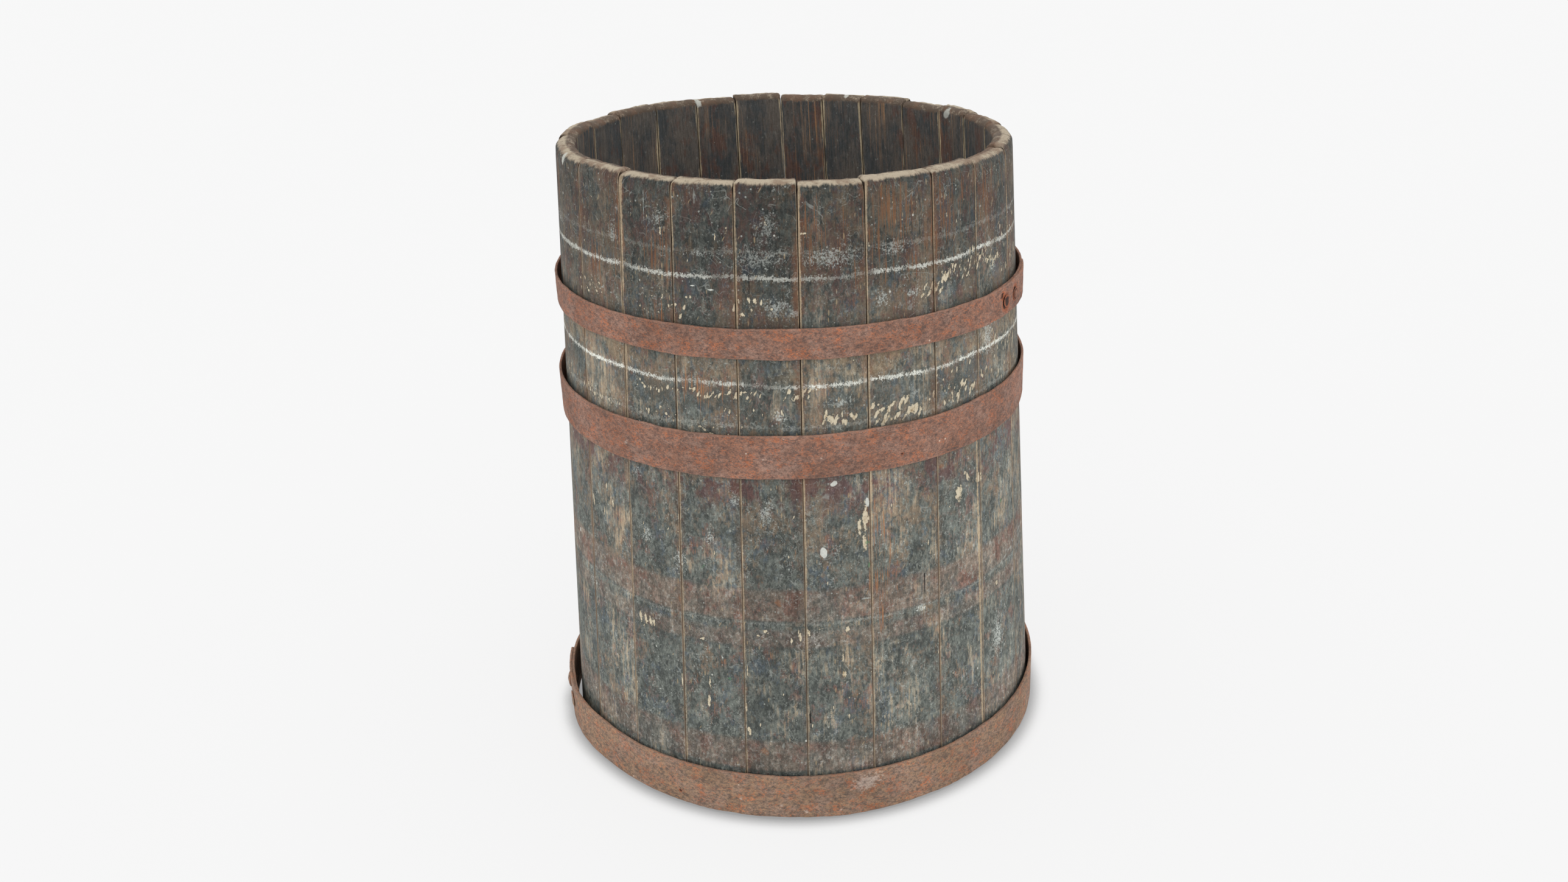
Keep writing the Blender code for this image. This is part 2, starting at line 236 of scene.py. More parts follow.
BARE_MARKS = (
    (-49.8, 384, 12, 21, -5), (-46.6, 399, 6, 17, 25), (-42.4, 390, 15, 13, 30), (-113, 234, 8, 4, 10),
    (-74.9, 386, 7, 34, 0), (-76.3, 376, 4.5, 24, 0), (-75.2, 355, 6, 26, 0), (-111.6, 176, 3.5, 22, 2),
    (-112, 152, 4.5, 18, -4), (-118.8, 172, 2.2, 30, 0), (-118.4, 126, 3, 22, 0), (-102.2, 140, 2.2, 26, 0),
    (-102.6, 117, 3, 14, 0), (-130.2, 240, 4.8, 17, 12), (-128.6, 239, 5, 17, 12), (-127.2, 239, 4.6, 15, 12),
    (-126.1, 238, 4.2, 13, 12), (-90.6, 247, 4.6, 17, 8), (-88.6, 250, 4.2, 13, 14), (-86, 254, 13, 3.6, 0),
    (-92.4, 240, 3.6, 9, 0), (-79.8, 250, 5, 9, 0), (-98.2, 252, 11, 5, -30), (-100, 247, 8, 4, -30),
    (-98.9, 642, 4, 8, 10), (-97.6, 641, 5, 9, -6), (-96.2, 640, 2.8, 8, -14), (-101.2, 641, 2.6, 7, 16),
    (-98.4, 631, 3.5, 5, 0), (-100.6, 626, 6, 6, 0), (-102.2, 634, 4, 12, -8), (-94, 632, 3.6, 4, 0),
    (-124.2, 637, 6, 4, 0), (-116.8, 634, 7, 2.6, 8), (-117.6, 385, 3.6, 20, 0), (-36, 238, 6, 8, 0),
    (24, 372, 8, 18, 10), (58, 250, 5, 26, 0), (81, 418, 9, 6, 20), (112, 160, 4, 30, 0),
    (139, 340, 10, 12, -20), (168, 235, 3, 14, -12), (170, 236, 3, 12, -12), (4, 190, 4, 24, 0),
    (100, 300, 3, 20, 0), (33, 660, 7, 8, 12), (-147.6, 362, 4, 20, 4), (-142.4, 357, 3, 14, -8),
    (-138.6, 373, 5, 10, 0), (-141, 392, 3, 9, 0), (-81.2, 214, 4, 14, 0), (-81, 192, 6, 16, 0),
    (-80.2, 136, 4, 8, 10), (-78.8, 131, 3, 6, -20), (-102.6, 200, 2.4, 16, 0), (-103.2, 150, 2.6, 14, 0),
    (-102.9, 121, 3, 8, 0), (-97.6, 96, 3, 6, 20), (-103.5, 716, 3, 15, 2), (-86.6, 711, 10, 3, 6),
    (-119.4, 712, 3, 9, 0),
)
PAINT_DROPS = (
    (-84.6, 349, 8.6, 14.5, 8), (-81.8, 431, 10, 6, 30), (-74.3, 404, 5, 12, 4), (-125, 150, 3, 3, 0),
    (-111.8, 655, 6, 2.2, 0), (-107.5, 652, 8, 2.4, 0), (-93.8, 670, 5, 2.4, 0), (-45, 350, 2.6, 2.6, 0),
    (95, 395, 5, 10, 0), (13, 330, 6, 10, 10), (-158, 300, 5, 7, 0), (151, 352, 5, 8, 0), (62, 132, 5, 7, 25),
)
END_SPOTS = ((32, 753, 12, 16, 0), (117, 762, 11, 14, 0), (-158, 762, 9, 14, 0), (70, 764, 8, 10, 0))
DUSTY = (
    (-81.6, 430, 22, 16, 30), (-129.2, 427, 16, 18, 0), (-98.4, 249, 22, 14, 0), (-62, 258, 26, 14, -20),
    (-69, 634, 20, 24, 20), (-61.5, 634, 26, 14, 0), (-120, 727, 20, 26, 20), (-94.5, 718, 26, 40, -20),
    (-96, 686, 66, 26, 0), (-81, 684, 76, 24, 0), (-93.2, 634, 42, 26, 0), (-37, 560, 34, 60, 0),
    (-36, 165, 30, 70, 0), (-66, 686, 40, 18, 0), (-89, 626, 22, 14, 0), (-110, 690, 60, 7, 0),
    (-93, 512, 20, 20, 20), (-80, 524, 46, 16, 0), (-62, 521, 18, 18, 0), (-33.5, 635, 14, 20, 0),
    (-127, 352, 18, 30, 0), (-110, 366, 12, 24, 0), (-97, 398, 20, 40, -10), (-104, 415, 16, 20, 0),
    (-88, 240, 40, 24, 0), (-134, 700, 18, 34, 0), (-118, 330, 16, 40, 0), (46, 430, 18, 24, 15),
    (128, 702, 30, 22, 0), (60, 688, 70, 18, 0), (157, 452, 18, 12, 0), (110, 530, 26, 16, 0),
    (20, 240, 40, 20, 0), (90, 250, 30, 26, 0), (140, 640, 26, 18, 0), (175, 520, 24, 18, 0),
    (5, 690, 60, 16, 0), (-165, 690, 50, 18, 0), (-150, 250, 26, 20, 0),
)
STREAKY = (
    (-66, 718, 70, 90, 0), (-50, 720, 56, 70, 0), (-36, 722, 50, 60, 0), (-132, 694, 26, 60, 0),
    (-85, 712, 26, 50, 0), (-56, 690, 30, 50, 0), (-139, 660, 40, 60, 0), (-121, 605, 44, 40, 0),
    (-111, 540, 50, 30, 0), (-120, 690, 30, 60, 0), (-72, 320, 30, 130, 0), (-24, 730, 30, 34, 0),
    (20, 700, 60, 90, 0), (75, 640, 40, 60, 0), (130, 380, 40, 120, 0), (165, 700, 50, 80, 0),
    (95, 180, 50, 90, 0), (-5, 350, 40, 120, 0),
)
COLOUR_SPECKS = {
    "green": (
        (-74.6, 355, 5, 8, 40), (-74.4, 327, 3.6, 9, 0), (-112.4, 327, 7, 5, 0), (-107, 186, 7, 5, 0),
        (-32.5, 341, 4, 10, 0), (86, 222, 7, 5, 20), (150, 486, 5, 7, 0),
    ),
    "orange": (
        (-99.4, 92, 10, 13, 10), (-79.7, 240, 4, 6, 0), (-95, 288, 8, 12, 20), (-118.5, 280, 5, 14, 10),
        (-55, 425, 12, 6, 0), (-52.2, 92, 7, 7, 0), (30, 120, 10, 12, 0), (74, 300, 7, 14, 0),
        (121, 90, 10, 8, 0), (176, 400, 10, 12, 0),
    ),
    "blue": ((-64, 568, 3.4, 4, 0), (-83.8, 330, 3, 6, 0), (140, 520, 4, 4, 0)),
}
# Dark splits: angle, lowest and highest place, width
CRACKS = (
    (-151.6, 556, 624, 1.5), (-88.9, 130, 147, 1.6), (42.4, 300, 770, 1), (120, 640, 768, 1.1),
    (-60.6, 262, 300, 0.9), (70, 64, 150, 1.1), (-166, 64, 180, 1.1), (93, 500, 575, 1),
    (-98.7, 642, 668, 1.4),
)
# Pale lines: angle and height at each end, width, and how far the middle bows up
SCRATCHES = (
    (-142, 637, -133, 628, 1.3, 2), (-34.5, 257, -16, 273, 3, 3), (-33, 281, -26, 262, 1.6, -3),
    (-79.5, 281, -72.5, 284, 1.5, 3), (-72.5, 284, -70, 269, 1.5, 0), (-24, 678, -13, 690, 2, 3),
    (-35, 120, -30.5, 195, 1.6, 3), (-69, 300, -66.8, 268, 1.2, 0), (18, 300, 34, 282, 1.5, 6),
    (90, 690, 98, 668, 1.2, 2), (134, 220, 150, 246, 1.6, -8), (-128, 168, -120, 150, 1, 1),
    (-109.6, 735, -108.2, 724, 1.6, 1), (-123.6, 690, -123.6, 752, 1.2, 0), (-46.5, 399, -43, 404, 2, 0),
)
PALE_JOINTS = ((-43.6, 60, -42.8, 440, 3.8, 0),)
# Where a hoop driver has left rows of chips: first and last angle, lowest and highest place, how many,
# their lean, and their usual width and length
CHIP_ROWS = (
    (-59, -52, 628, 642, 12, -32, 3.2, 10.4), (-53, -44, 636, 656, 32, -25, 2.5, 6.3),
    (-44, -30, 636, 664, 46, -15, 2.5, 8.4), (-30, -12, 622, 690, 35, -10, 2.5, 9.4),
    (-128, -112, 620, 648, 20, 0, 3.1, 4.8), (-150, -139, 624, 642, 20, 25, 2.3, 8.4),
    (-128, -114, 531, 539, 18, 20, 2.3, 7.3), (-114, -97, 532, 541, 24, -30, 2.5, 8.4),
    (-92, -86, 528, 544, 11, -25, 2.5, 8.4), (-150, -134, 496, 514, 20, 10, 2.6, 7.3),
    (-126, -117, 500, 513, 12, 15, 2.6, 6.3), (-84, -76, 497, 513, 12, -10, 3.8, 10.4),
    (-72.5, -60, 494, 516, 26, -22, 4.2, 12.5), (-54, -43, 496, 514, 14, -12, 3.2, 12.5),
    (-58, -37, 506, 538, 22, -12, 2.6, 8.4), (-36, -14, 496, 560, 46, -12, 2.5, 9.4),
    (-106, -92, 494, 524, 11, 10, 2.5, 6.3), (-112, -104, 490, 500, 7, 60, 2.5, 9.4),
    (-150, -30, 300, 430, 35, 0, 2.1, 5.5), (-150, -30, 110, 235, 30, 0, 2, 5.5),
    (-150, -30, 560, 575, 12, 0, 2.1, 4.4), (-150, -30, 675, 745, 35, 10, 2, 5.5),
    (-10, 26, 612, 655, 35, -20, 2.6, 8.4), (30, 66, 494, 520, 32, 20, 3.1, 9.4),
    (52, 92, 614, 650, 35, -15, 2.6, 8.4), (100, 138, 530, 544, 30, 25, 2.5, 8.4),
    (112, 160, 494, 516, 32, -15, 3.1, 9.4), (140, 178, 616, 650, 30, 15, 2.6, 7.3),
    (-180, -158, 494, 518, 16, 10, 2.9, 8.4), (8, 30, 530, 544, 16, -20, 2.5, 7.3),
    (-20, 180, 300, 430, 54, 0, 2.1, 5.5), (-20, 180, 110, 235, 49, 0, 2, 5.5),
    (-20, 180, 675, 745, 49, 0, 2, 5.5),
)


def row_chips():
    """Every chip of the rows, as marks."""
    rng = np.random.default_rng(5)
    chips = []
    for first, last, low, high, count, lean, wide, long in CHIP_ROWS:
        for place in rng.permutation(count):
            turn = first + (last - first) * (place + rng.uniform(0.1, 0.9)) / count
            level = low + (high - low) * rng.uniform()
            size = rng.uniform(0.6, 1.4)
            length = long * size * rng.uniform(0.7, 1.2)
            chips.append((turn, level, wide * size ** 0.5, length, lean + rng.normal(0, 14)))
    return tuple(chips)


# The marks and lines on a stave's outside face, by the name of the field that the material reads
FACE_MARKS = {
    "bare": BARE_MARKS + row_chips(), "white": PAINT_DROPS, "dusty": DUSTY, "streaky": STREAKY, **COLOUR_SPECKS,
}
FACE_LINES = {
    "crack": [(turn, low, turn, high, wide, 0) for turn, low, high, wide in CRACKS],
    "scratch": SCRATCHES,
    "pale_joint": PALE_JOINTS,
}


def wrapped(angle):
    return (angle + math.pi) % math.tau - math.pi


def nearest_mark(marks, angle, height, radius):
    """1 in the middle of a mark, 0 on its outline and less outside, for whichever mark is nearest."""
    field = np.full(len(angle), -2.0)
    middle = math.atan2(np.sin(angle).mean(), np.cos(angle).mean())
    half = np.abs(wrapped(angle - middle)).max()
    for turn, level, wide, long, lean in marks:
        if abs(wrapped(math.radians(turn) - middle)) > half + 2 * max(wide, long) * MM / radius.mean():
            continue
        x = wrapped(angle - math.radians(turn)) * radius / MM
        y = height / MM - level
        c, s = math.cos(math.radians(lean)), math.sin(math.radians(lean))
        field = np.maximum(field, 1 - np.hypot((x * c + y * s) / (wide / 2), (y * c - x * s) / (long / 2)))
    return field


def nearest_line(lines, angle, height, radius):
    """The same for thin lines: 1 on the line and 0 at its side."""
    field = np.full(len(angle), -2.0)
    for turn, level, end_turn, end_level, wide, bow in lines:
        x = wrapped(angle - math.radians(turn)) * radius / MM
        y = height / MM - level
        run = math.radians(end_turn - turn) * radius.mean() / MM
        rise = end_level - level
        length = math.hypot(run, rise)
        share = (x * run + y * rise) / length / length
        aside = (y * run - x * rise) / length - bow * (1 - (2 * share - 1) ** 2)
        past = np.maximum(0, np.abs(share - 0.5) - 0.5) * length
        field = np.maximum(field, 1 - np.hypot(aside, past) / (wide / 2))
    return field


# ---- Staves ----

def read_stave(name):
    """A CAD stave's middle angle; each corner's two angles, radius and height; its end's height at each side."""
    points = cad_points(name)
    radius, height = np.hypot(points[:, 0], points[:, 1]), points[:, 2]
    middle = math.atan2(points[:, 1].mean(), points[:, 0].mean())
    turn = wrapped(np.arctan2(points[:, 1], points[:, 0]) - middle)
    high = height > height.max() / 2
    picks = {
        "foot_out": ~high & (radius > radius[~high].max() - 0.5 * MM),
        "foot_in": ~high & (height > 0.4 * CHIME_HEIGHT) & (height < 0.5 * (CHIME_HEIGHT + CROZE[0])),
        "rim_out": high & (radius > radius[high].max() - 0.5 * MM),
        "rim_in": high & (radius < radius[high].min() + 0.5 * MM),
    }
    corners = {
        key: (turn[at].min(), turn[at].max(), radius[at].mean(), height[at].mean()) for key, at in picks.items()
    }
    left_end = height[high & (turn < turn[high].min() + CORNER_ANGLE)].max()
    right_end = height[high & (turn > turn[high].max() - CORNER_ANGLE)].max()
    return middle, corners, (left_end, right_end)


def lay(middle, corners, across, deep, height):
    """World places and angles for shares across and into a stave, at these heights."""

    def line(foot, rim, which):
        low, high = corners[foot], corners[rim]
        return low[which] + (high[which] - low[which]) * (height - low[3]) / (high[3] - low[3])

    left, right, radius = (
        line("foot_out", "rim_out", n) * (1 - deep) + line("foot_in", "rim_in", n) * deep for n in range(3)
    )
    angle = middle + left + (right - left) * across
    return around(angle, radius, height), angle


def stave_levels():
    """Heights up a stave below its rim."""
    croze = (CROZE[0] - 0.4 * MM, CROZE[0], CROZE[1], CROZE[1] + 0.4 * MM)
    return np.concatenate([np.array(FOOT_LEVELS) * MM, croze, np.arange(*WALL_LEVELS, STEP_UP)])


def joint_wear(index, left_half, height, local):
    """How wide the bare wood beside a joint is, in millimetres, at each point of a stave."""
    following = EDGE_WEAR[(index + 1) % len(EDGE_WEAR)]
    above, below = (np.where(left_half, EDGE_WEAR[index][n], FAR_SIDE_WEAR * following[n]) for n in range(2))
    beside = below + (above - below) * smooth(height, *WEAR_CHANGE)
    beside = beside * (1 + 0.45 * noise(local, (1.0, 1.0, 0.07), 8) + 0.25 * noise(local, (1.0, 1.0, 0.018), 9))
    return np.maximum(beside, 0.2)


def oak_of_faces(faces, inside, drop, beside_joint):
    """Which oak material each face takes: the plain outer or inner one where nothing else can show."""
    below_rim = (drop[faces] > RIM_REACH).all(axis=1)
    outer = (inside[faces] == 0).all(axis=1)
    inner = (inside[faces] == 1).all(axis=1) | (beside_joint[faces].all(axis=1) & ~outer)
    return np.where(below_rim & outer, 1, np.where(below_rim & inner, 2, 0)).astype(np.int32)


def make_stave(index, name, materials):
    """A stave as a bar of cells, worn at its ends and edges, with the fields that its material reads."""
    middle, corners, ends = read_stave(name)
    rng = np.random.default_rng(index + 40)
    width = (corners["rim_out"][1] - corners["rim_out"][0]) * corners["rim_out"][2]
    wall = corners["rim_out"][2] - corners["rim_in"][2]
    steps = steps_across(width, EDGE_STEPS, round(width / STEP_ACROSS))
    levels = stave_levels()
    drops = np.array(RIM_STEPS) * MM
    places, faces = bar_grid(len(steps) - 1, len(DEEP_STEPS) - 1, len(levels) + len(drops) - 1)
    i, j, k = places.T
    s, d = steps[i], np.array(DEEP_STEPS)[j] * wall / DEEP_STEPS[-1]
    joint = np.minimum(s, width - s) / MM
    left_half = s < width / 2
    beside_joint = (i == 0) | (i == i.max())
    at_edge = beside_joint | (j == 0) | (j == j.max())
    local = np.stack([s + index * 0.9, d, np.zeros(len(s))], axis=1)

    # The end is uneven, and worn down and rounded at its corners
    end = ends[0] + (ends[1] - ends[0]) * s / width
    end -= 0.9 * MM + 0.5 * MM * noise(local, 0.021, 3) + 0.35 * MM * noise(local, 0.008, 4)
    drop = np.where(k >= len(levels), drops[np.clip(k - len(levels), 0, None)], 0.1)
    height = np.where(k < len(levels), levels[np.clip(k, None, len(levels) - 1)], end - drop)
    local[:, 2] = height

    def rounding(radius):
        far = np.clip(radius - drop, 0, radius)
        return radius - np.sqrt(radius * radius - far * far)

    worn = RIM_ROUNDING * (1 + 0.18 * noise(local, 0.03, 5))
    out_inset = rounding(worn) + np.clip(FOOT_ROUNDING - height, 0, None)
    in_inset = rounding(RIM_ROUNDING * (0.92 + 0.2 * noise(local, 0.025, 6)))
    in_inset += CHIME_BEVEL * np.clip(1 - height / CHIME_HEIGHT, 0, None)
    in_inset += CROZE_DEPTH * ((height > CROZE[0] - 0.1 * MM) & (height < CROZE[1] + 0.1 * MM))
    left_inset, right_inset = (rounding(np.full(len(s), radius)) for radius in rng.uniform(*SIDE_ROUNDING, 2))
    d = out_inset + d * (wall - out_inset - in_inset) / wall
    s = left_inset + s * (width - left_inset - right_inset) / width

    # Long edges are rounded where the outline turns a corner
    edge = np.clip(EDGE_ROUNDING + 0.6 * MM * noise(local, (1.0, 1.0, 0.05), 7), LEAST_EDGE_ROUNDING, None)
    edge *= 0.6 + 0.4 * smooth(height, 0.40, 0.55)
    s, d = round_corners(s, d, (left_inset, width - right_inset), (out_inset, wall - in_inset), edge, at_edge)
    share = s / width
    crown = rng.uniform(0.1, 0.5) * MM + 0.35 * MM * (2 * share - 1) ** 2
    d = d + crown * (1 - d / wall)

    points, angle = lay(middle, corners, share, d / wall, height)
    radius = np.hypot(points[:, 0], points[:, 1])
    on_face = smooth(d, wall * 0.5, wall * 0.1) * smooth(drop, 3 * MM, 9 * MM)
    off = NOWHERE * (1 - on_face)
    tan, light = TONES[index]
    fields = {
        "grain": local,
        "inside": smooth(d, wall * 0.35, wall * 0.75),
        "drop": (end - height) / MM,
        "joint": joint / joint_wear(index, left_half, height, local),
        "seam": joint,
        "tan": np.full(len(s), tan),
        "light": np.full(len(s), light),
        "turn": angle,
        "end_spot": nearest_mark(END_SPOTS, angle, height, radius),
    }
    for fit, table in ((nearest_mark, FACE_MARKS), (nearest_line, FACE_LINES)):
        fields |= {key: fit(marks, angle, height, radius) + off for key, marks in table.items()}
    piece = add_mesh(f"{name}_wood", points, faces, fields)

    rough = smooth(drop, 15 * MM, 5 * MM)
    moved = 0.20 * MM * noise(local, (0.05, 0.05, 0.2), 10) + 0.10 * MM * noise(local, (0.006, 0.01, 0.06), 11)
    moved += rough * (0.40 * MM * noise(local, 0.011, 12) + 0.30 * MM * noise(local, 0.0045, 13) - 0.40 * MM)
    moved -= 0.30 * MM * smooth(fields["bare"], -0.1, 0.3) + 0.9 * MM * smooth(fields["crack"], -0.4, 0.6)
    moved += 0.30 * MM * smooth(fields["white"], 0.0, 0.5)
    push_out(piece, np.where(beside_joint, np.minimum(moved, 0), moved) * smooth(height, 0.5 * MM, 5 * MM))
    keep(piece, name, "staves", *materials)
    picked = oak_of_faces(faces, fields["inside"], fields["drop"], beside_joint)
    piece.data.polygons.foreach_set("material_index", picked)


# ---- Materials ----

class Value:
    """An output of one of a graph's nodes. A sum of values makes the nodes that work it out."""

    def __init__(self, graph, socket):
        self.graph, self.socket = graph, socket

    def __add__(self, other):
        return self.graph.math("ADD", self, other)

    def __sub__(self, other):
        return self.graph.math("SUBTRACT", self, other)

    def __rsub__(self, other):
        return self.graph.math("SUBTRACT", other, self)

    def __mul__(self, other):
        return self.graph.math("MULTIPLY", self, other)

    def __abs__(self):
        return self.graph.math("ABSOLUTE", self)

    def larger(self, other):
        return self.graph.math("MAXIMUM", self, other)

    def swing(self, amount):
        """Noise made to swing either side of 0, by this much from end to end."""
        return (self - 0.5) * amount

    def fade(self, low, high, to_low=0, to_high=1):
        """An even curve from to_low, where the value is low, to to_high, where it is high."""
        values = {"Value": self, "From Min": low, "From Max": high, "To Min": to_low, "To Max": to_high}
        return self.graph.add("ShaderNodeMapRange", values, interpolation_type="SMOOTHSTEP")

    def band(self, start, full, ending, end):
        """1 between full and ending, and fading to 0 at start and end."""
        return self.fade(start, full) * self.fade(end, ending)

    def under(self, *layers):
        """This colour, covered by each layer's tint in turn, as far as its amount says."""
        colour = self
        for tint, amount in layers:
            colour = self.graph.mix(amount, colour, tint)
        return colour

    def other(self, output):
        """Another output of the same node."""
        return Value(self.graph, self.socket.node.outputs[output])


class Graph:
    """Builds one material. Wherever a value is asked for, a plain number or colour will do."""

    def __init__(self, name):
        self.material = bpy.data.materials.new(name)
        self.material.use_nodes = True
        self.nodes = self.material.node_tree.nodes
        self.place = self.add("ShaderNodeTexCoord", {}, "Object")
        self.height = self.add("ShaderNodeSeparateXYZ", {"Vector": self.place}, "Z")

    def put(self, value, socket):
        if isinstance(value, Value):
            self.material.node_tree.links.new(value.socket, socket)
        elif socket.type == "RGBA":
            socket.default_value = (*value, 1.0)
        else:
            socket.default_value = value

    def add(self, kind, values, output=0, **settings):
        node = self.nodes.new(kind)
        for key, value in settings.items():
            setattr(node, key, value)
        for key, value in values.items():
            self.put(value, node.inputs[key])
        return Value(self, node.outputs[output])

    def field(self, name, output="Fac"):
        return self.add("ShaderNodeAttribute", {}, output, attribute_name=name)

    def math(self, operation, *values):
        return self.add("ShaderNodeMath", dict(enumerate(values)), operation=operation)

    def mix(self, amount, low, high):
        return self.add("ShaderNodeMix", {0: amount, 6: low, 7: high}, 2, data_type="RGBA")

    def scaled(self, colour, factor):
        return self.add("ShaderNodeVectorMath", {0: colour, "Scale": factor}, operation="SCALE")

    def mapped(self, vector, scale, shift):
        values = {"Vector": vector, "Scale": scale, "Location": (shift, shift, shift)}
        return self.add("ShaderNodeMapping", values)

    def noise(self, vector, scale, detail, roughness, shift=0, distortion=0):
        """Noise from about 0 to 1 with this many bumps to the metre along each axis."""
        values = {"Vector": self.mapped(vector, scale, shift), "Scale": 1, "Detail": detail}
        return self.add("ShaderNodeTexNoise", {**values, "Roughness": roughness, "Distortion": distortion})

    def dots(self, vector, scale, chance, largest, shift, lean=0):
        """Scattered dots: cells to the metre, the chance of a dot in each, its largest radius in cells."""
        turned = self.add("ShaderNodeMapping", {"Vector": vector, "Rotation": (0, lean, 0)})
        distance = self.add("ShaderNodeTexVoronoi", {"Vector": self.mapped(turned, scale, shift), "Scale": 1})
        drawn = self.add("ShaderNodeSeparateColor", {"Color": distance.other("Color")})
        return (drawn.fade(1 - chance, 1, 0, largest) - distance).fade(0, 0.35 * largest)

    def flakes(self, vector, scale, shift):
        """Two random values from 0 to 1, each its own in every ragged flake, with this many to the metre."""
        scaled = self.mapped(vector, scale, shift)
        wander = self.add("ShaderNodeTexNoise", {"Vector": scaled, "Scale": 1.7, "Detail": 2}, "Color")
        values = {0: scaled, 1: self.scaled(wander, 1.2)}
        moved = self.add("ShaderNodeVectorMath", values, operation="ADD")
        drawn = self.add("ShaderNodeTexVoronoi", {"Vector": moved, "Scale": 1}, "Color")
        first = self.add("ShaderNodeSeparateColor", {"Color": drawn})
        return first, first.other("Green")

    def surface(self, **values):
        """Sets inputs of the surface, with _ for the spaces in their names."""
        for name, value in values.items():
            self.put(value, self.nodes["Principled BSDF"].inputs[name.replace("_", " ")])
        return self.material

    def finish(self, colour, roughness, relief, distance):
        """Sets the surface, with a relief whose step from 0 to 1 is this far in metres."""
        bump = self.add("ShaderNodeBump", {"Height": relief, "Distance": distance, "Strength": 1})
        return self.surface(Base_Color=colour, Roughness=roughness, Normal=bump, Specular_IOR_Level=0.25)


DARK = srgb(70, 74, 71)
SLATE = srgb(119, 124, 117)
BROWN = srgb(130, 114, 96)
PURPLE = srgb(108, 82, 76)
BLUE = srgb(88, 101, 112)
TAN = srgb(172, 153, 126)
ORANGE = srgb(154, 106, 72)
DUST, SMEAR = srgb(166, 170, 164), srgb(180, 184, 178)
LIME = srgb(205, 206, 197)
STAIN, STAIN_RED = srgb(134, 119, 106), srgb(120, 88, 76)
WINE = srgb(96, 68, 66)
UNDER_HOOP = srgb(154, 136, 110)
RUSTY_STREAK = srgb(170, 118, 80)
BARE, BARE_DIM = srgb(217, 205, 179), srgb(172, 151, 118)
WHITE = srgb(214, 216, 208)
JOINT_TAN, JOINT_RUST = srgb(168, 150, 124), srgb(122, 82, 56)
# Painted shade for the crevice along each joint
SEAM_SHADE = srgb(70, 58, 48)
END_GRAIN, END_DARK, END_PURPLE = srgb(188, 174, 152), srgb(100, 86, 74), srgb(120, 92, 74)
CRACK = srgb(34, 31, 29)
INSIDE, INSIDE_DARK, INSIDE_PURPLE = srgb(103, 96, 89), srgb(74, 77, 78), srgb(104, 76, 66)
INSIDE_STREAK, INSIDE_DRIP = srgb(182, 134, 88), srgb(198, 180, 148)
HEAD, HEAD_DARK = srgb(88, 78, 68), srgb(48, 44, 41)
PEG, PEG_DARK = srgb(170, 140, 104), srgb(120, 94, 66)
IRON, IRON_LOW = srgb(151, 111, 92), srgb(158, 128, 102)
IRON_DARK, IRON_DARK_LOW = srgb(108, 85, 77), srgb(106, 92, 83)
IRON_BLOOM, IRON_ORANGE, IRON_BLOT = srgb(154, 130, 118), srgb(186, 110, 72), srgb(90, 79, 75)
IRON_GLINT, IRON_FLAKE, IRON_EDGE = srgb(206, 178, 156), srgb(214, 198, 180), srgb(160, 126, 108)
IRON_PALE, PIT_RUST, PIT = srgb(196, 178, 166), srgb(168, 88, 50), srgb(52, 42, 38)
# Small marks by the name of their field: tint and strength
SPECK_TINTS = {
    "green": (srgb(78, 126, 88), 0.6), "orange": (srgb(140, 94, 64), 0.5), "blue": (srgb(58, 92, 140), 0.7),
    "scratch": (DUST, 0.75),
}
# How far the finest relief stands out, in metres
OAK_RELIEF, IRON_RELIEF, PLAIN_RELIEF = 0.0008, 0.0007, 0.0006

# Stained or dusty bands round the barrel, in metres: lowest and highest place, strength
STAIN_BANDS = ((0.262, 0.302, 0.95), (0.229, 0.250, 0.6), (0.064, 0.104, 0.8))
DARK_BANDS = ((0.516, 0.543, 0.55), (0.606, 0.622, 0.35), (0.440, 0.450, 0.40), (0.576, 0.590, 0.35))
# Where a band starts, is full, starts to end, and ends
WINE_BAND = (0.385, 0.425, 0.450, 0.470)
LIFTED_BAND = (0.545, 0.556, 0.575, 0.590)
# Lines of dried lime: height, half width, strength, and the shift of the noise that breaks each
LIME_LINES = (
    (0.6645, 0.0026, 0.95, 41), (0.5462, 0.0024, 0.95, 43), (0.2595, 0.0020, 0.16, 45),
    (0.6920, 0.0026, 0.16, 47), (0.4990, 0.0026, 0.20, 49),
)


class OakGraph(Graph):
    """The graph for a stave, with the fields and noises that several of its layers share."""

    def __init__(self, name):
        super().__init__(name)
        self.grain = self.field("grain", "Vector")
        self.seam = self.field("seam")
        self.strand = self.noise(self.grain, (650, 150, 75), 3, 0.68, 5)
        self.dust = self.noise(self.place, (190, 190, 150), 5, 0.82, 23)
        self.cloud = self.noise(self.place, (30, 30, 20), 4, 0.68, 29)
        self.grit = self.noise(self.place, (560, 560, 500), 3, 0.8, 31)
        self.fine = self.noise(self.place, (420, 420, 420), 3, 0.75, 61)
        self.ragged = self.noise(self.place, (300, 300, 210), 4, 0.72, 65) - 0.5


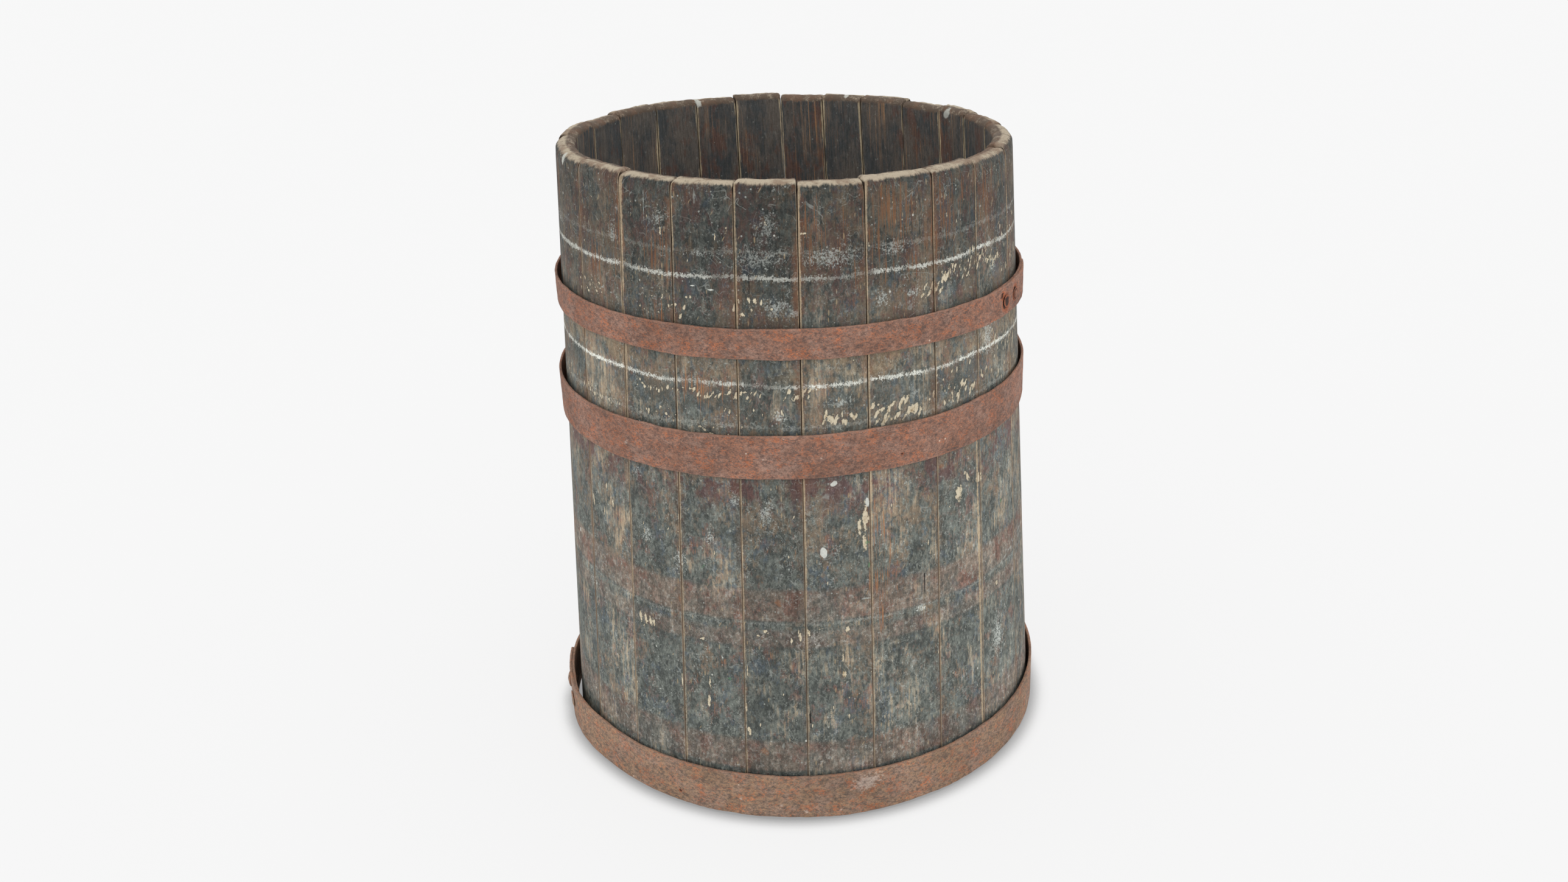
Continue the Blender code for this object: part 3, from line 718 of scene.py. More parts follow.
def outside_colour(g):
    """Stained oak, knocked about: slate over brown, with streaks and dust. Also its tone and relief."""
    patch = g.noise(g.grain, (40, 40, 22), 5, 0.8)
    mottle = g.noise(g.place, (170, 170, 130), 4, 0.8, 2)
    warm = g.noise(g.grain, (22, 22, 12), 5, 0.78, 7)
    purple = g.noise(g.grain, (26, 26, 16), 5, 0.8, 13)
    blue = g.noise(g.grain, (30, 30, 18), 4, 0.8, 17)
    worn = g.noise(g.grain, (18, 18, 8), 4, 0.72, 19)
    streak = g.noise(g.grain, (300, 90, 16), 4, 0.72, 3)
    lines = g.noise(g.grain, (430, 90, 7), 2, 0.6, 39)
    small, small_too = g.flakes(g.grain, (400, 60, 190), 35)
    broad, broad_too = g.flakes(g.grain, (150, 50, 62), 37)
    tan, height = g.field("tan"), g.height
    tone = patch * 0.5 + mottle * 0.3 + small * 0.14 + broad * 0.09
    warmth = tan * 0.12 + height.fade(0.1, 0.55, -0.1, 0.01)
    browned = warm + warmth + small_too * 0.11 + broad_too * 0.06
    reddish = purple + height.fade(0.5, 0.66, 0, 0.07) + small * 0.12 + broad_too * 0.06
    thin = (worn + tan * 0.15).fade(0.54, 0.67) * height.fade(0.56, 0.68, 0.9, 0.5)
    dusted = (g.dust + g.grit * 0.6).fade(0.84, 1.02) * g.cloud.fade(0.38, 0.58)
    smeared = g.field("dusty") * 0.9 + (g.dust * 3 + g.grit * 4)
    colour = g.mix(tone.fade(0.4, 0.68), DARK, SLATE).under(
        (BROWN, browned.fade(0.57, 0.74, 0, 0.8)),
        (PURPLE, reddish.fade(0.63, 0.77, 0, 0.75)),
        (BLUE, (blue + small_too * -0.14).fade(0.46, 0.6, 0, 0.5)),
        (ORANGE, g.strand.fade(0.5, 0.66) * (warm + purple).fade(1.02, 1.18) * 0.6),
        (TAN, (streak + small * 0.1).fade(0.52, 0.66) * thin * 0.66),
        (DUST, dusted * 0.75),
        (g.scaled(SMEAR, height.fade(0.58, 0.68, 1, 1.25)), smeared.fade(3.85, 4.45, 0, 0.85)),
    )
    grained = g.strand * 0.5 + g.grit * 0.8 + mottle * 0.35 + lines * thin.fade(0, 1, 0.2, 0.6)
    return colour, tone, grained.fade(0.62, 1.32, 0.6, 1.44)


def hoop_scars(g, colour, tone):
    """Rust-stained bands where hoops once sat, and lines of dried lime."""
    wobble = g.noise(g.place, (9, 9, 3), 2, 0.5, 31).swing(0.012)
    level = g.height + g.math("COSINE", g.field("turn")) * 0.0045 + wobble
    edge = level + g.dust.swing(0.008)
    wine = g.noise(g.place, (34, 34, 22), 4, 0.78, 53)
    light = g.field("light")
    lower, upper = light.fade(0.82, 1.12, 0.92, 1.04), light.fade(0.82, 1.12, 1.1, 0.72)
    even = g.mix(g.height.fade(0.2, 0.12), lower, upper)
    stain = g.mix((wine + tone * 0.3).fade(0.64, 0.76), STAIN, STAIN_RED)
    stain = g.scaled(g.scaled(stain, tone.fade(0.42, 0.66, 0.66, 1.26)), even)
    patchy = (g.cloud + g.dust * 0.4).fade(0.54, 0.76, 0.3, 0.9)
    for low, high, strength in STAIN_BANDS:
        band = edge.band(low - 0.002, low + 0.003, high - 0.004, high + 0.004)
        lip = edge.band(low - 0.005, low - 0.001, low - 0.001, low + 0.003)
        colour = colour.under(
            (stain, band * patchy * strength),
            (DARK, lip * 0.35),
            (DARK, band * g.dust.fade(0.5, 0.38) * 0.45),
            (DUST, band * g.dust.fade(0.53, 0.64) * 0.45),
        )
    for low, high, strength in DARK_BANDS:
        band = edge.band(low - 0.006, low + 0.006, high - 0.004, high + 0.004)
        colour = colour.under((DARK, band * g.cloud.fade(0.36, 0.56) * strength))
    start, full, ending, end = WINE_BAND
    below = edge.fade(start, full) * wine.fade(0.48, 0.6) * 0.75
    colour = colour.under(
        (WINE, below * level.fade(end, ending)),
        (g.scaled(UNDER_HOOP, tone.fade(0.42, 0.66, 0.72, 1.15)),
         edge.band(*LIFTED_BAND) * g.cloud.fade(0.42, 0.56) * wine.fade(0.62, 0.46)
         * g.field("tan").fade(0, 0.4, 0.3, 0.62)),
    )
    lime = g.scaled(LIME, g.height.fade(0.58, 0.68, 1, 1.35))
    for middle, half, strength, shift in LIME_LINES:
        near = 1 - abs(level - middle) * (1 / half) + g.dust.swing(3.6) + g.grit.swing(6)
        broken = g.noise(g.place, (24, 24, 10), 3, 0.7, shift).fade(0.34, 0.52, 0.3, 1)
        colour = colour.under((lime, near.fade(0.1, 0.6) * broken * strength))
    return colour


def wandering_lines(g, scale, shift):
    """Thin lines where a broad noise crosses its middle, here and there."""
    wave = g.noise(g.place, scale, 2, 0.5, shift, distortion=0.6)
    here = g.noise(g.place, (45, 45, 45), 3, 0.6, shift + 1)
    return abs(wave - 0.5).fade(0.008, 0.002) * here.fade(0.5, 0.6)


def add_marks(g, colour):
    """Specks, scratches, rusty streaks, chips and drops of paint over a colour. Also where it is chipped."""
    dashes = g.dots(g.grain, (230, 60, 58), 0.42, 0.24, 7)
    leaning = g.dots(g.grain, (260, 60, 50), 0.25, 0.2, 9, lean=-0.5)
    speck = g.fine.fade(0.64, 0.72) * g.cloud.fade(0.4, 0.58)
    spots = g.dots(g.place, (170, 170, 170), 0.4, 0.22, 5)
    splashes = g.dots(g.place, (75, 75, 60), 0.14, 0.12, 11)
    lines = wandering_lines(g, (26, 26, 40), 91).larger(wandering_lines(g, (60, 60, 24), 95))
    threads = g.noise(g.grain, (430, 60, 14), 3, 0.7, 97).swing(7)
    streak = (g.field("streaky") * 0.6 + threads).fade(0.35, 0.9, 0, 0.72)
    chipped = g.field("bare") + g.ragged * 2.4
    chip = chipped.fade(0.06, 0.28)
    drop = (g.field("white") + g.ragged * 0.7).fade(0, 0.15)
    colour = colour.under(
        (BARE_DIM, (dashes * 0.5).larger(leaning * 0.5)),
        (DUST, (speck * 0.7).larger(spots * 0.65)),
        (LIME, splashes * 0.8),
        (DUST, lines * 0.38),
        (g.scaled(RUSTY_STREAK, g.height.fade(0.56, 0.7, 0.9, 0.5)), streak),
        (DARK, chipped.band(-0.75, -0.1, -0.1, 0.25) * 0.45),
        (g.mix((g.strand + g.ragged).fade(0.28, 0.56), BARE_DIM, BARE), chip * 0.9),
    )
    for name, (tint, strength) in SPECK_TINTS.items():
        colour = colour.under((tint, (g.field(name) + g.ragged * 3).fade(0, 0.5) * strength))
    return colour.under((g.scaled(WHITE, g.dust.fade(0.3, 0.7, 0.8, 1.05)), drop * 0.9)), chip


def bare_joints(g, colour, relief):
    """Rust beside the joints, and wood worn bare along them, over a colour."""
    glow = (g.seam + g.ragged * 16).fade(9, 2) * g.cloud.fade(0.44, 0.6) * 0.45
    edge = (g.field("joint") + g.ragged * 1.2).fade(1.1, 0.75)
    pale = (g.field("pale_joint") + g.ragged * 2.4).fade(-0.1, 0.4)
    return colour.under(
        (JOINT_RUST, glow * g.height.fade(0.3, 0.62, 0.3, 1)),
        (g.scaled(JOINT_TAN, relief * g.height.fade(0.1, 0.7, 1.05, 1.08)),
         edge * (g.cloud + g.height * 0.2).fade(0.46, 0.64, 0.28, 0.76)),
        (g.scaled(JOINT_TAN, relief * 1.15), pale * 0.85),
    )


def inside_colour(g):
    """Wine-dark oak with long streaks, and pale runs beside the joints."""
    patch = g.noise(g.grain, (30, 30, 12), 5, 0.78, 80)
    purple = g.noise(g.grain, (20, 20, 8), 5, 0.78, 82)
    streak = g.noise(g.grain, (380, 40, 6), 4, 0.7, 83)
    area = g.noise(g.grain, (13, 13, 5), 3, 0.6, 84)
    dust = g.noise(g.place, (240, 240, 110), 4, 0.78, 85)
    run = g.noise(g.grain, (50, 40, 9), 3, 0.7, 86)
    drip = (g.seam + run.swing(-12) + dust.swing(3)).fade(2.4, 1.2)
    colour = g.mix(patch.fade(0.4, 0.62), INSIDE_DARK, INSIDE).under(
        (INSIDE_PURPLE, purple.fade(0.52, 0.62, 0, 0.7)),
        (INSIDE_STREAK, streak.fade(0.52, 0.64) * area.fade(0.48, 0.62) * 0.55),
        (DUST, dust.fade(0.58, 0.74) * 0.45),
        (INSIDE_DRIP, drip * run.fade(0.4, 0.56, 0.25, 1) * 0.8),
        (DUST, g.dots(g.place, (150, 150, 150), 0.25, 0.2, 15) * 0.45),
    )
    grained = g.strand * 0.7 + g.grit * 0.45 + streak * 0.5
    return g.scaled(colour, grained.fade(0.62, 1.05, 0.68, 1.28))


def add_rim(g, colour, within):
    """End grain over a colour where a stave ends, with a painted highlight towards the front. Also its relief."""
    pith = g.noise(g.place, (560, 560, 560), 3, 0.75, 71)
    patch = g.noise(g.place, (80, 80, 80), 5, 0.74, 73)
    purple = g.noise(g.place, (36, 36, 36), 3, 0.7, 75)
    frayed = g.noise(g.grain, (240, 60, 24), 4, 0.7, 77)
    outer = (within + patch.swing(1)).fade(0.8, 0.1, -0.12, 0.12)
    # Painted highlight: the end grain is lighter towards the front of the rim
    front = g.height.other("Y").fade(-0.15, -0.26, -0.02, 0.06)
    rim = g.mix((pith * 0.6 + patch * 0.95 + outer + front).fade(0.62, 0.92), END_DARK, END_GRAIN)
    rim = rim.under((END_PURPLE, (purple + pith * 0.3).fade(0.62, 0.78, 0, 0.6)))
    drop = g.field("drop")
    ended = drop + patch.swing(7) + frayed.swing(8) - (within * 4 + 2.6)
    spot = (g.field("end_spot") + patch.swing(2)).fade(0, 0.3)
    return colour.under((rim, ended.fade(1.8, -1.2)), (LIME, spot * 0.8)), drop.fade(14, 4) * pith * 1.8


def oak_material(name, outer=True, inner=True, rim=True):
    """Oak for all of a stave, or for only some of its outside, inside and rim, which bakes much faster."""
    g = OakGraph(name)
    colour, tone, relief = outside_colour(g)
    colour = g.scaled(hoop_scars(g, colour, tone), relief)
    # Each stave's lightness, which is partly painted light, and darker towards the top, from the upper hoop up
    colour = g.scaled(colour, g.field("light") * g.height.fade(0.56, 0.7, 1.02, 0.5))
    colour, chip = add_marks(g, colour)
    within = g.field("inside")
    seam_shade = g.scaled(SEAM_SHADE, g.height.fade(0.35, 0.6, 3.2, 1))
    colour = bare_joints(g, colour, relief)
    if inner:
        inside = inside_colour(g)
        colour = colour.under((inside, within)) if outer else inside
    # Painted shade in the crevice along each joint, paler low down
    colour = colour.under((seam_shade, (g.seam + g.ragged * 0.4).fade(0.35, 0.12)))
    wood_relief = g.strand * 0.55 + g.grit * 0.35 + g.fine * 0.5 + chip * -0.7
    if rim:
        colour, rim_relief = add_rim(g, colour, within)
        wood_relief = wood_relief + rim_relief
    crack = (g.field("crack") + g.ragged * 1.5).fade(-0.1, 0.3)
    rough = g.cloud.fade(0.35, 0.65, 0.74, 0.88)
    return g.finish(colour.under((CRACK, crack)), rough, wood_relief + crack * -2, OAK_RELIEF)


def iron_material():
    """Even matt rust: dark and orange flecks that run with the strap, under a thin pale bloom."""
    g = Graph("rusted_iron")
    strap = g.field("strap", "Vector")
    fleck = g.noise(strap, (190, 190, 280), 6, 0.8)
    fibre = g.noise(strap, (430, 430, 800), 3, 0.7, 5)
    cloud = g.noise(strap, (24, 24, 30), 6, 0.74, 7)
    warm = g.noise(strap, (60, 60, 80), 5, 0.74, 17)
    blot = g.noise(strap, (120, 120, 190), 5, 0.76, 11)
    fine = g.noise(strap, (900, 900, 1100), 2, 0.7, 9)
    uneven = g.noise(strap, (9, 9, 14), 3, 0.6, 23).fade(0.32, 0.68, 0.82, 1.14)
    low_down = g.height.fade(0.3, 0.1)
    pit = g.field("pit") + fleck.swing(2.2)
    dark = g.mix(low_down, IRON_DARK, IRON_DARK_LOW)
    light = g.mix(low_down, IRON, IRON_LOW).under((IRON_BLOOM, cloud.fade(0.42, 0.62, 0, 0.6)))
    colour = dark.under(
        (light, (fleck * 0.58 + fibre * 0.42).fade(0.38, 0.58)),
        (IRON_ORANGE, (fibre * 0.6 + warm * 0.6).fade(0.6, 0.76, 0, 0.8)),
        (IRON_BLOT, (blot * 0.7 + cloud * -0.3).fade(0.23, 0.34, 0, 0.68)),
        (IRON_GLINT, fine.fade(0.66, 0.73, 0, 0.55)),
        (IRON_FLAKE, g.dots(strap, (120, 120, 120), 0.12, 0.16, 21) * 0.75),
        (IRON_EDGE, (g.field("edge") + fleck.swing(6)).fade(2, 0.2, 0, 0.35)),
        (PIT_RUST, pit.fade(-0.55, -0.05, 0, 0.55)),
        (PIT, pit.fade(0.05, 0.3, 0, 0.95)),
        (IRON_PALE, (g.field("pale") + fleck.swing(4)).fade(0, 0.9) * 0.65),
    )
    colour = g.scaled(colour, uneven * (fleck + fine * 0.8).fade(0.6, 1.2, 0.76, 1.2))
    return g.finish(colour, 0.86, fleck * 0.9 + fine * 0.4 + cloud * 1.2 + blot * -0.5, IRON_RELIEF)


def plain_wood(name, light, dark, scale):
    """Bare oak for the pieces of the bottom, with this many streaks to the metre along each axis."""
    g = Graph(name)
    streak = g.noise(g.place, scale, 4, 0.6)
    cloud = g.noise(g.place, (14, 14, 14), 4, 0.6, 4)
    fine = g.noise(g.place, tuple(3 * s for s in scale), 2, 0.6, 8)
    colour = g.mix((streak * 0.7 + cloud * 0.5).fade(0.42, 0.78), dark, light)
    colour = g.scaled(colour, fine.fade(0.3, 0.7, 0.82, 1.15))
    return g.finish(colour, cloud.fade(0.3, 0.7, 0.68, 0.9), streak + fine * 0.5, PLAIN_RELIEF)


# ---- Hoops ----

# Each hoop: the end of its outer layer in degrees, the lap, which way the strap runs from there, and the
# share of its height at which its layers are measured
STRAPS = {
    "upper_hoop": (-8, 28, -1, 0.5),
    "middle_hoop": (90, 22, 1, 0.2),
    "lower_hoop": (-180, 20, 1, 0.2),
}
STRAP_STEP = 0.0019
STRAP_EDGE_STEPS = (0.0, 0.0005, 0.0012, 0.0022)
STRAP_DEPTHS = (0.0, 0.25, 0.75, 1.0)  # shares of its thickness
STRAP_ROUNDING = 0.9 * MM
SINGLE_LAYER = (2 * MM, 5 * MM)  # the least and most that one layer can be measured as
EVENED = 41  # how many neighbouring measures are averaged
SIDE_PLACE = 0.25  # metres from the middle of the barrel: points beyond it show a hoop's tilt
PITS = {  # corroded places: angle, height, width and length in millimetres, lean
    "upper_hoop": ((-31, 588, 16, 19, 20), (-32.8, 598, 8, 9, 0), (-24.9, 592, 13.5, 17, 0)),
    "middle_hoop": ((-66, 456, 4, 3, 0),),
    "lower_hoop": ((-120, 18, 4, 4, 0), (12, 40, 5, 4, 0)),
}
PALE_SPOTS = {
    "upper_hoop": ((20, 594, 8, 6, 0),),
    "middle_hoop": ((-131, 462, 6, 9, 0), (-84.5, 464, 3, 6, 0), (-97, 466, 2.4, 7, 0), (60, 470, 16, 12, 0)),
    "lower_hoop": (
        (-77, 46, 42, 24, 10), (-96, 20, 5, 7, 0), (-90.5, 12, 7, 6, 0), (-83, 11, 9, 4, 20),
        (-105, 26, 4, 9, 0), (95, 30, 18, 12, 0), (150, 16, 8, 6, 0),
    ),
}


def strap_layers(name, angles, height_share):
    """For each angle, where a level line out from the axis goes in and out of the hoop's layers."""
    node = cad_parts[name]
    low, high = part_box(name)
    tree = BVHTree.FromPolygons([v.co for v in node.data.vertices], [p.vertices for p in node.data.polygons])
    start = Vector((0, 0, low.z + (high.z - low.z) * height_share))
    found = []
    for angle in angles:
        outward = Vector((math.cos(angle), math.sin(angle), 0))
        hits, reach = [], 0.0
        while True:
            hit, _, _, distance = tree.ray_cast(start + outward * reach, outward)
            if hit is None:
                break
            reach += distance + 0.02 * MM
            hits.append(math.hypot(hit.x, hit.y))
        found.append(hits)
    return found


def strap_radii(name, run, angles):
    """Evened inner and outer radius of the strap along its run, which starts with the outer layer."""
    radii = np.full((2, len(run)), np.nan)
    for n, hits in enumerate(strap_layers(name, angles, STRAPS[name][3])):
        pair = hits[-2:] if run[n] < math.pi else hits[:2]
        if len(pair) == 2:
            radii[:, n] = pair
    thick = radii[1] - radii[0]
    good = (thick > SINGLE_LAYER[0]) & (thick < SINGLE_LAYER[1])
    filled = (np.pad(np.interp(run, run[good], row[good]), EVENED // 2, mode="edge") for row in radii)
    return [np.convolve(row, np.ones(EVENED) / EVENED, mode="valid") for row in filled]


def hoop_levels(name, angles):
    """Lowest and highest place of the hoop at each angle, from the tilt of its band."""
    points = cad_points(name)
    lowest, highest = points[:, 2].min(), points[:, 2].max()
    at_left, at_right = points[points[:, 0] < -SIDE_PLACE], points[points[:, 0] > SIDE_PLACE]
    tilt = (at_left[:, 2].min() - at_right[:, 2].min()) / 2
    width = highest - lowest - 2 * abs(tilt)
    low = (lowest + highest - width) / 2 - tilt * np.cos(angles)
    return low, low + width


def make_hoop(name, material):
    """A hoop as one long strap that overlaps itself, with wandering edges, dents and pits."""
    end, lap, turn, _ = STRAPS[name]
    end, lap = math.radians(end), math.radians(lap)
    total = math.tau + lap
    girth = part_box(name)[1].x
    count = round(total * girth / STRAP_STEP)
    run = np.linspace(0, total, count + 1)
    angles = end + turn * run
    low, high = hoop_levels(name, angles)
    width = (high - low).mean()
    inner, outer = strap_radii(name, run, angles)

    levels = steps_across(width, STRAP_EDGE_STEPS, round(width / STRAP_STEP))
    places, faces = bar_grid(len(STRAP_DEPTHS) - 1, len(levels) - 1, count)
    i, j, k = places.T
    thick = (outer - inner).mean()
    flat_up = levels[j]
    flat_depth = np.array(STRAP_DEPTHS)[i] * thick
    along, level_run = run[k] * girth, np.zeros(len(k))
    depth, up = round_corners(flat_depth, flat_up, (0, thick), (0, width), STRAP_ROUNDING)

    # The strap's edges wander and are nibbled by rust
    wander = np.stack([along, level_run, np.where(up > width / 2, 5.0, 0.0)], axis=1)
    nibble = 0.8 * MM * noise(wander, (0.09, 1, 1), 21) + 0.45 * MM * noise(wander, (0.018, 1, 1), 22)
    nibble += 0.25 * MM * noise(wander, (0.006, 1, 1), 23) - 0.5 * MM
    side = 2 * up / width - 1
    up = up + side * np.abs(side) * nibble
    waver = np.stack([along, level_run, up], axis=1)
    radius = inner[k] + depth + 0.35 * MM * noise(waver, (0.12, 1, 0.5), 24)
    angle, height = angles[k], low[k] + up
    outside = i == i.max()
    pits, pale = (
        nearest_mark(marks[name], angle, height, radius) + NOWHERE * ~outside for marks in (PITS, PALE_SPOTS)
    )
    pits = np.where(run[k] < math.tau - 0.5 * lap, pits, NOWHERE)
    fields = {
        "strap": np.stack([along, flat_depth, up], axis=1),
        "edge": np.minimum(flat_up, width - flat_up) / MM,
        "pit": pits,
        "pale": pale,
    }
    piece = add_mesh(f"{name}_strap", around(angle, radius, height), faces, fields)
    dents = 0.16 * MM * noise(waver, (0.02, 1, 0.02), 25) + 0.12 * MM * noise(waver, (0.007, 1, 0.006), 26)
    dents += 0.08 * MM * noise(waver, (0.0035, 1, 0.003), 27)
    push_out(piece, outside * (dents - 1.6 * MM * smooth(pits, -0.1, 0.5)))
    keep(piece, name, "hoops", material)


# ---- Rivets ----

RIVET_WEAR = {
    "upper_hoop": ("corroded", "ringed"),
    "middle_hoop": ("domed", "domed"),
    "lower_hoop": ("domed", "beaten"),
}
RIVET_SIDES = 48
HEAD_RINGS = 12
SHANK_RADIUS = 3.2 * MM
RIVET_SHARP = math.radians(50)


def rivet_sections(name):
    """The CAD rivet's rings, as distance out and radius; its two ends; a point on its axis; its directions."""
    low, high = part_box(name)
    middle = (low + high) / 2
    angle = math.atan2(middle.y, middle.x)
    points = cad_points(name)
    centre = points.mean(axis=0)
    outward, up = np.array([math.cos(angle), math.sin(angle), 0.0]), np.array([0, 0, 1.0])
    aside = np.cross([0, 0, 1.0], outward)
    reach = points @ outward
    spread = np.hypot((points - centre) @ up, (points - centre) @ aside)
    sections = []
    for level in sorted(set(np.round(reach, 5))):
        ring = spread[np.abs(reach - level) < 0.02 * MM]
        sections += [(level, value) for value in sorted(set(np.round(ring, 4)))]
    axis_point = centre - (centre @ outward) * outward
    return sections, (reach.min(), reach.max()), axis_point, (outward, up, aside)


def rivet_profile(sections, ends, wear):
    """Distance out and radius along a rivet, from its tail to the top of its head. Also where its head starts."""
    tail, top = ends
    head_radius = max(value for _, value in sections)
    grip_end = max(level for level, value in sections if value > head_radius * 0.98)
    tail_radius = max(value for level, value in sections if level < tail + 2 * MM)
    profile = [
        (tail, 0.0), (tail, tail_radius * 0.8), (tail + 0.5 * MM, tail_radius), (tail + 1 * MM, tail_radius),
        (tail + 1 * MM, SHANK_RADIUS), (grip_end, SHANK_RADIUS), (grip_end, head_radius * 0.97),
    ]
    for turn in np.arange(HEAD_RINGS + 1) / HEAD_RINGS * math.pi / 2:
        rise = math.sin(turn) ** (0.8 if wear == "domed" else 0.5) * (0.4 if wear == "beaten" else 1)
        profile.append((grip_end + (top - grip_end) * rise + 0.05 * MM, head_radius * math.cos(turn)))
    return profile, grip_end


def make_rivet(name, material, wear):
    """A hammered head on the CAD rivet's own axis, with its shank and tail. Some are flat or corroded."""
    sections, ends, axis_point, axes = rivet_sections(name)
    profile, grip_end = rivet_profile(sections, ends, wear)
    turns = np.arange(RIVET_SIDES) / RIVET_SIDES * math.tau
    rings = [
        np.array([level * np.ones(RIVET_SIDES), value * np.cos(turns), value * np.sin(turns)]).T
        for level, value in profile[1:-1]
    ]
    local = np.concatenate([*rings, [[profile[0][0], 0, 0]], [[profile[-1][0], 0, 0]]])
    first, last, top_ring = len(local) - 2, len(local) - 1, (len(rings) - 1) * RIVET_SIDES
    beside = [(n, (n + 1) % RIVET_SIDES) for n in range(RIVET_SIDES)]
    faces = [
        (start + n, start + m, start + RIVET_SIDES + m, start + RIVET_SIDES + n)
        for start in range(0, top_ring, RIVET_SIDES) for n, m in beside
    ]
    faces += [(n, first, m) for n, m in beside] + [(top_ring + n, top_ring + m, last) for n, m in beside]

    on_head = smooth(local[:, 0], grip_end, grip_end + 1 * MM)
    seed = sum(map(ord, name))
    lumps = 0.5 * MM * noise(local + seed, 0.006, 31) + 0.2 * MM * noise(local + seed, 0.0025, 32)
    local[:, 0] += on_head * (lumps - 0.45 * MM)
    local[:, 1:] *= (1 + on_head * 0.08 * noise(local * [0, 1, 1] + seed, 0.012, 33))[:, None]
    mesh = bpy.data.meshes.new(f"{name}_iron")
    mesh.from_pydata((axis_point + local @ np.array(axes)).tolist(), [], faces)
    mesh.shade_smooth()
    mesh.set_sharp_from_angle(angle=RIVET_SHARP)
    from_middle = np.hypot(local[:, 1], local[:, 2]) / MM
    nowhere = np.full(len(local), NOWHERE)
    pits = {"corroded": 1.2 - from_middle / 5.5, "ringed": 0.7 - np.abs(from_middle - 5.6) / 1.4}
    fields = {"strap": local + seed, "edge": -nowhere, "pit": pits.get(wear, nowhere), "pale": nowhere}
    add_fields(mesh, fields)
    with_faces_out(mesh)
    keep(link(mesh.name, mesh), name, "rivets", material)


def with_faces_out(mesh):
    """Turns a closed mesh's faces outward."""
    bm = bmesh.new()
    bm.from_mesh(mesh)
    bmesh.ops.recalc_face_normals(bm, faces=bm.faces[:])
    bm.to_mesh(mesh)
    bm.free()


# ---- Bottom ----

JOINT_AREA = 0.001  # square metres: the side of a board is larger, and the facets of its round end are smaller
JOINT_FILL = 0.00018
BOARD_EDGE = 0.9 * MM


def make_board(name, material):
    """The CAD board with its edges eased and its joints nearly closed, so that no light comes up between."""
    bm = bmesh.new()
    bm.from_mesh(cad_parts[name].data)
    bmesh.ops.remove_doubles(bm, verts=bm.verts[:], dist=1e-5)
    bmesh.ops.dissolve_limit(bm, angle_limit=math.radians(1), verts=bm.verts[:], edges=bm.edges[:])
    bm.normal_update()
    joints = [face for face in bm.faces if abs(face.normal.z) < 0.1 and face.calc_area() > JOINT_AREA]
    for vert, outward in {v: face.normal.copy() for face in joints for v in face.verts}.items():
        vert.co += outward * JOINT_FILL
    mesh = bpy.data.meshes.new(f"{name}_wood")
    bm.to_mesh(mesh)
    bm.free()
    piece = link(mesh.name, mesh)
    bevel = piece.modifiers.new("eased_edges", "BEVEL")
    bevel.width = BOARD_EDGE
    bevel.segments = 2
    bevel.limit_method = "ANGLE"
    bevel.angle_limit = math.radians(40)
    keep(piece, name, "head", material)


# ---- Stage ----

WHITE_LIGHT = (1.0, 1.0, 1.0)
FLOOR_RADIUS = 60
FLOOR_TONES = (0.13, 0.133)
FLOOR_GLOW = (0.30, 0.786)  # beside the barrel, and in the open
CONTACT = 0.028  # how far the barrel's contact shadow reaches
SKY_STRENGTH = 0.93
# Each sun: strength, and its spread, tilt and turn in degrees
SUNS = {"key": (0.55, 100, 38, -30), "fill": (0.30, 120, 50, 60)}
CAMERA_PLACE = (0, -1.697, 1.0956)
CAMERA_PITCH, CAMERA_YAW, CAMERA_ROLL = math.radians(23.38), math.radians(-0.482), math.radians(-2.353)
SENSOR_WIDTH = 36
FOCAL_LENGTH = 32.55


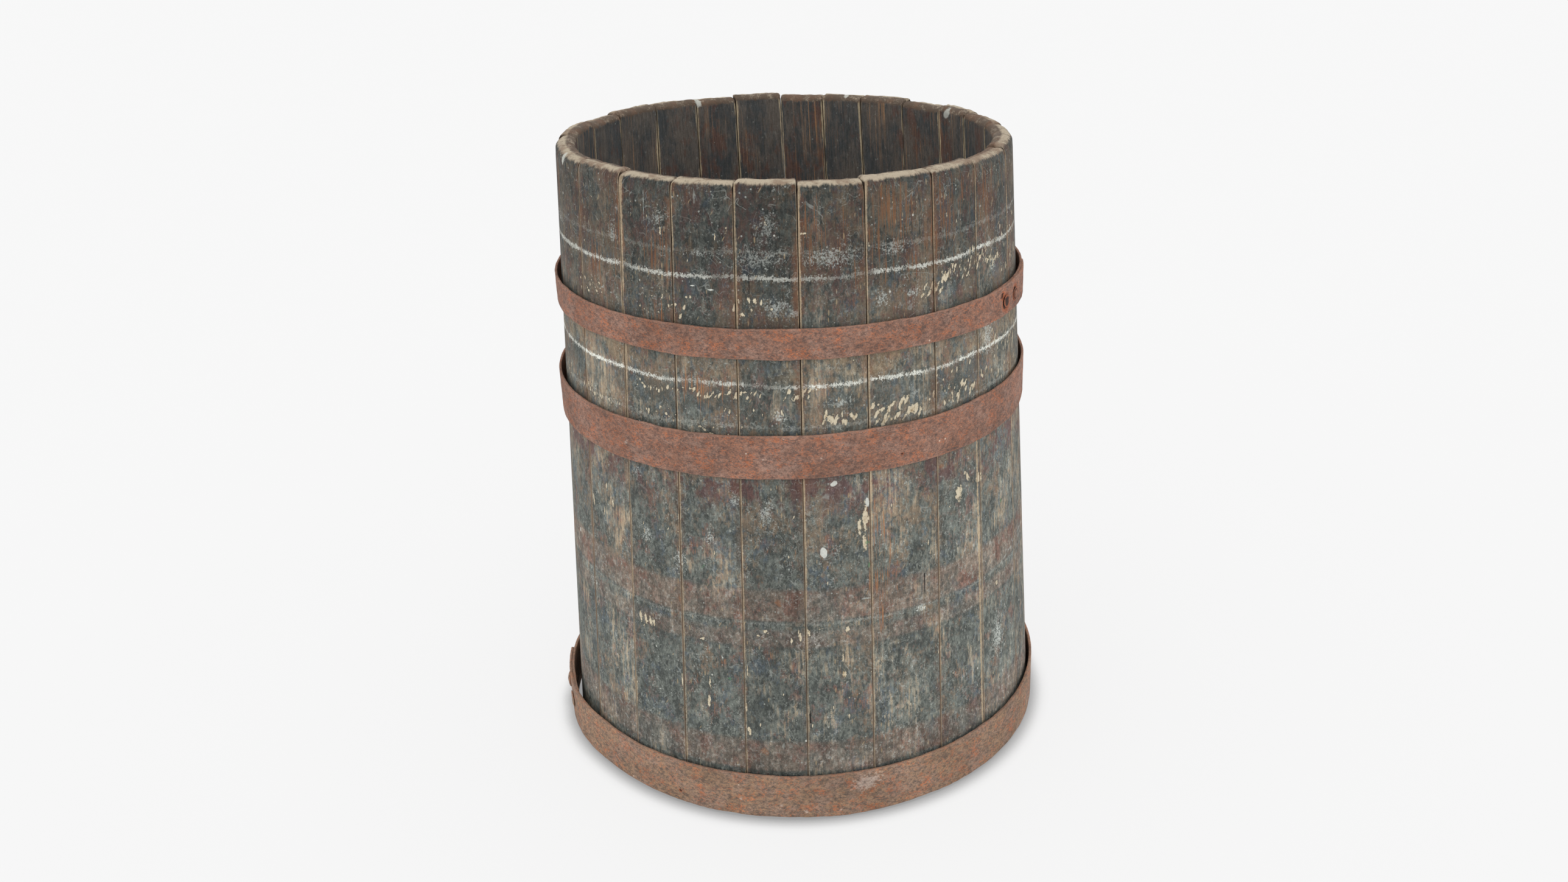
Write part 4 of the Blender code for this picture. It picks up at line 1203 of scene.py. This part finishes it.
def add_stage():
    """A pale floor that glows except beside the barrel, a white sky, and two soft suns."""
    bpy.ops.mesh.primitive_circle_add(vertices=96, radius=FLOOR_RADIUS, fill_type="NGON")
    floor = bpy.context.object
    floor.name = "floor"
    g = Graph("pale_floor")
    tone = g.mix(g.noise(g.place, (3, 3, 3), 2, 0.5), *((level, level, level) for level in FLOOR_TONES))
    near = g.add("ShaderNodeAmbientOcclusion", {"Distance": CONTACT}, "AO", samples=8)
    g.surface(Base_Color=tone, Roughness=1.0, Specular_IOR_Level=0.0)
    g.surface(Emission_Color=WHITE_LIGHT, Emission_Strength=near.fade(0.45, 0.97, *FLOOR_GLOW))
    floor.data.materials.append(g.material)

    world = bpy.data.worlds.new("studio")
    bpy.context.scene.world = world
    world.use_nodes = True
    sky = world.node_tree.nodes["Background"]
    sky.inputs["Color"].default_value = (*WHITE_LIGHT, 1.0)
    sky.inputs["Strength"].default_value = SKY_STRENGTH
    for name, (strength, spread, tilt, turn) in SUNS.items():
        light = bpy.data.lights.new(name, "SUN")
        light.energy = strength
        light.angle = math.radians(spread)
        link(name, light).rotation_euler = (math.radians(tilt), 0, math.radians(turn))


def add_camera():
    """The photograph's view: slightly above, close, and a little off level."""
    ahead, aside = math.cos(CAMERA_YAW), math.sin(CAMERA_YAW)
    flat = math.cos(CAMERA_PITCH)
    forward = Vector((aside * flat, ahead * flat, -math.sin(CAMERA_PITCH)))
    level = Vector((ahead, -aside, 0))
    above = level.cross(forward)
    right = math.cos(CAMERA_ROLL) * level + math.sin(CAMERA_ROLL) * above
    up = math.cos(CAMERA_ROLL) * above - math.sin(CAMERA_ROLL) * level
    data = bpy.data.cameras.new("camera")
    data.sensor_width = SENSOR_WIDTH
    data.lens = FOCAL_LENGTH
    camera = link("camera", data)
    turned = Matrix((right, up, -forward)).transposed().to_4x4()
    camera.matrix_world = Matrix.Translation(CAMERA_PLACE) @ turned
    bpy.context.scene.camera = camera


def main():
    oaks = (
        oak_material("weathered_oak"), oak_material("weathered_oak_outer", inner=False, rim=False),
        oak_material("weathered_oak_inner", outer=False, rim=False),
    )
    for index, name in enumerate(STAVES):
        make_stave(index, name, oaks)
    iron = iron_material()
    for name in STRAPS:
        make_hoop(name, iron)
        for n, wear in enumerate(RIVET_WEAR[name], 1):
            make_rivet(f"{name}_rivet_{n}", iron, wear)
    head = plain_wood("head_oak", HEAD, HEAD_DARK, (200, 12, 200))
    for name in BOARDS:
        make_board(name, head)
    pegs = plain_wood("dowel_oak", PEG, PEG_DARK, (260, 260, 8))
    for name in DOWELS:
        paint(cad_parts[name], pegs)
    add_stage()
    add_camera()
    bpy.context.scene.view_settings.view_transform = "Standard"


main()
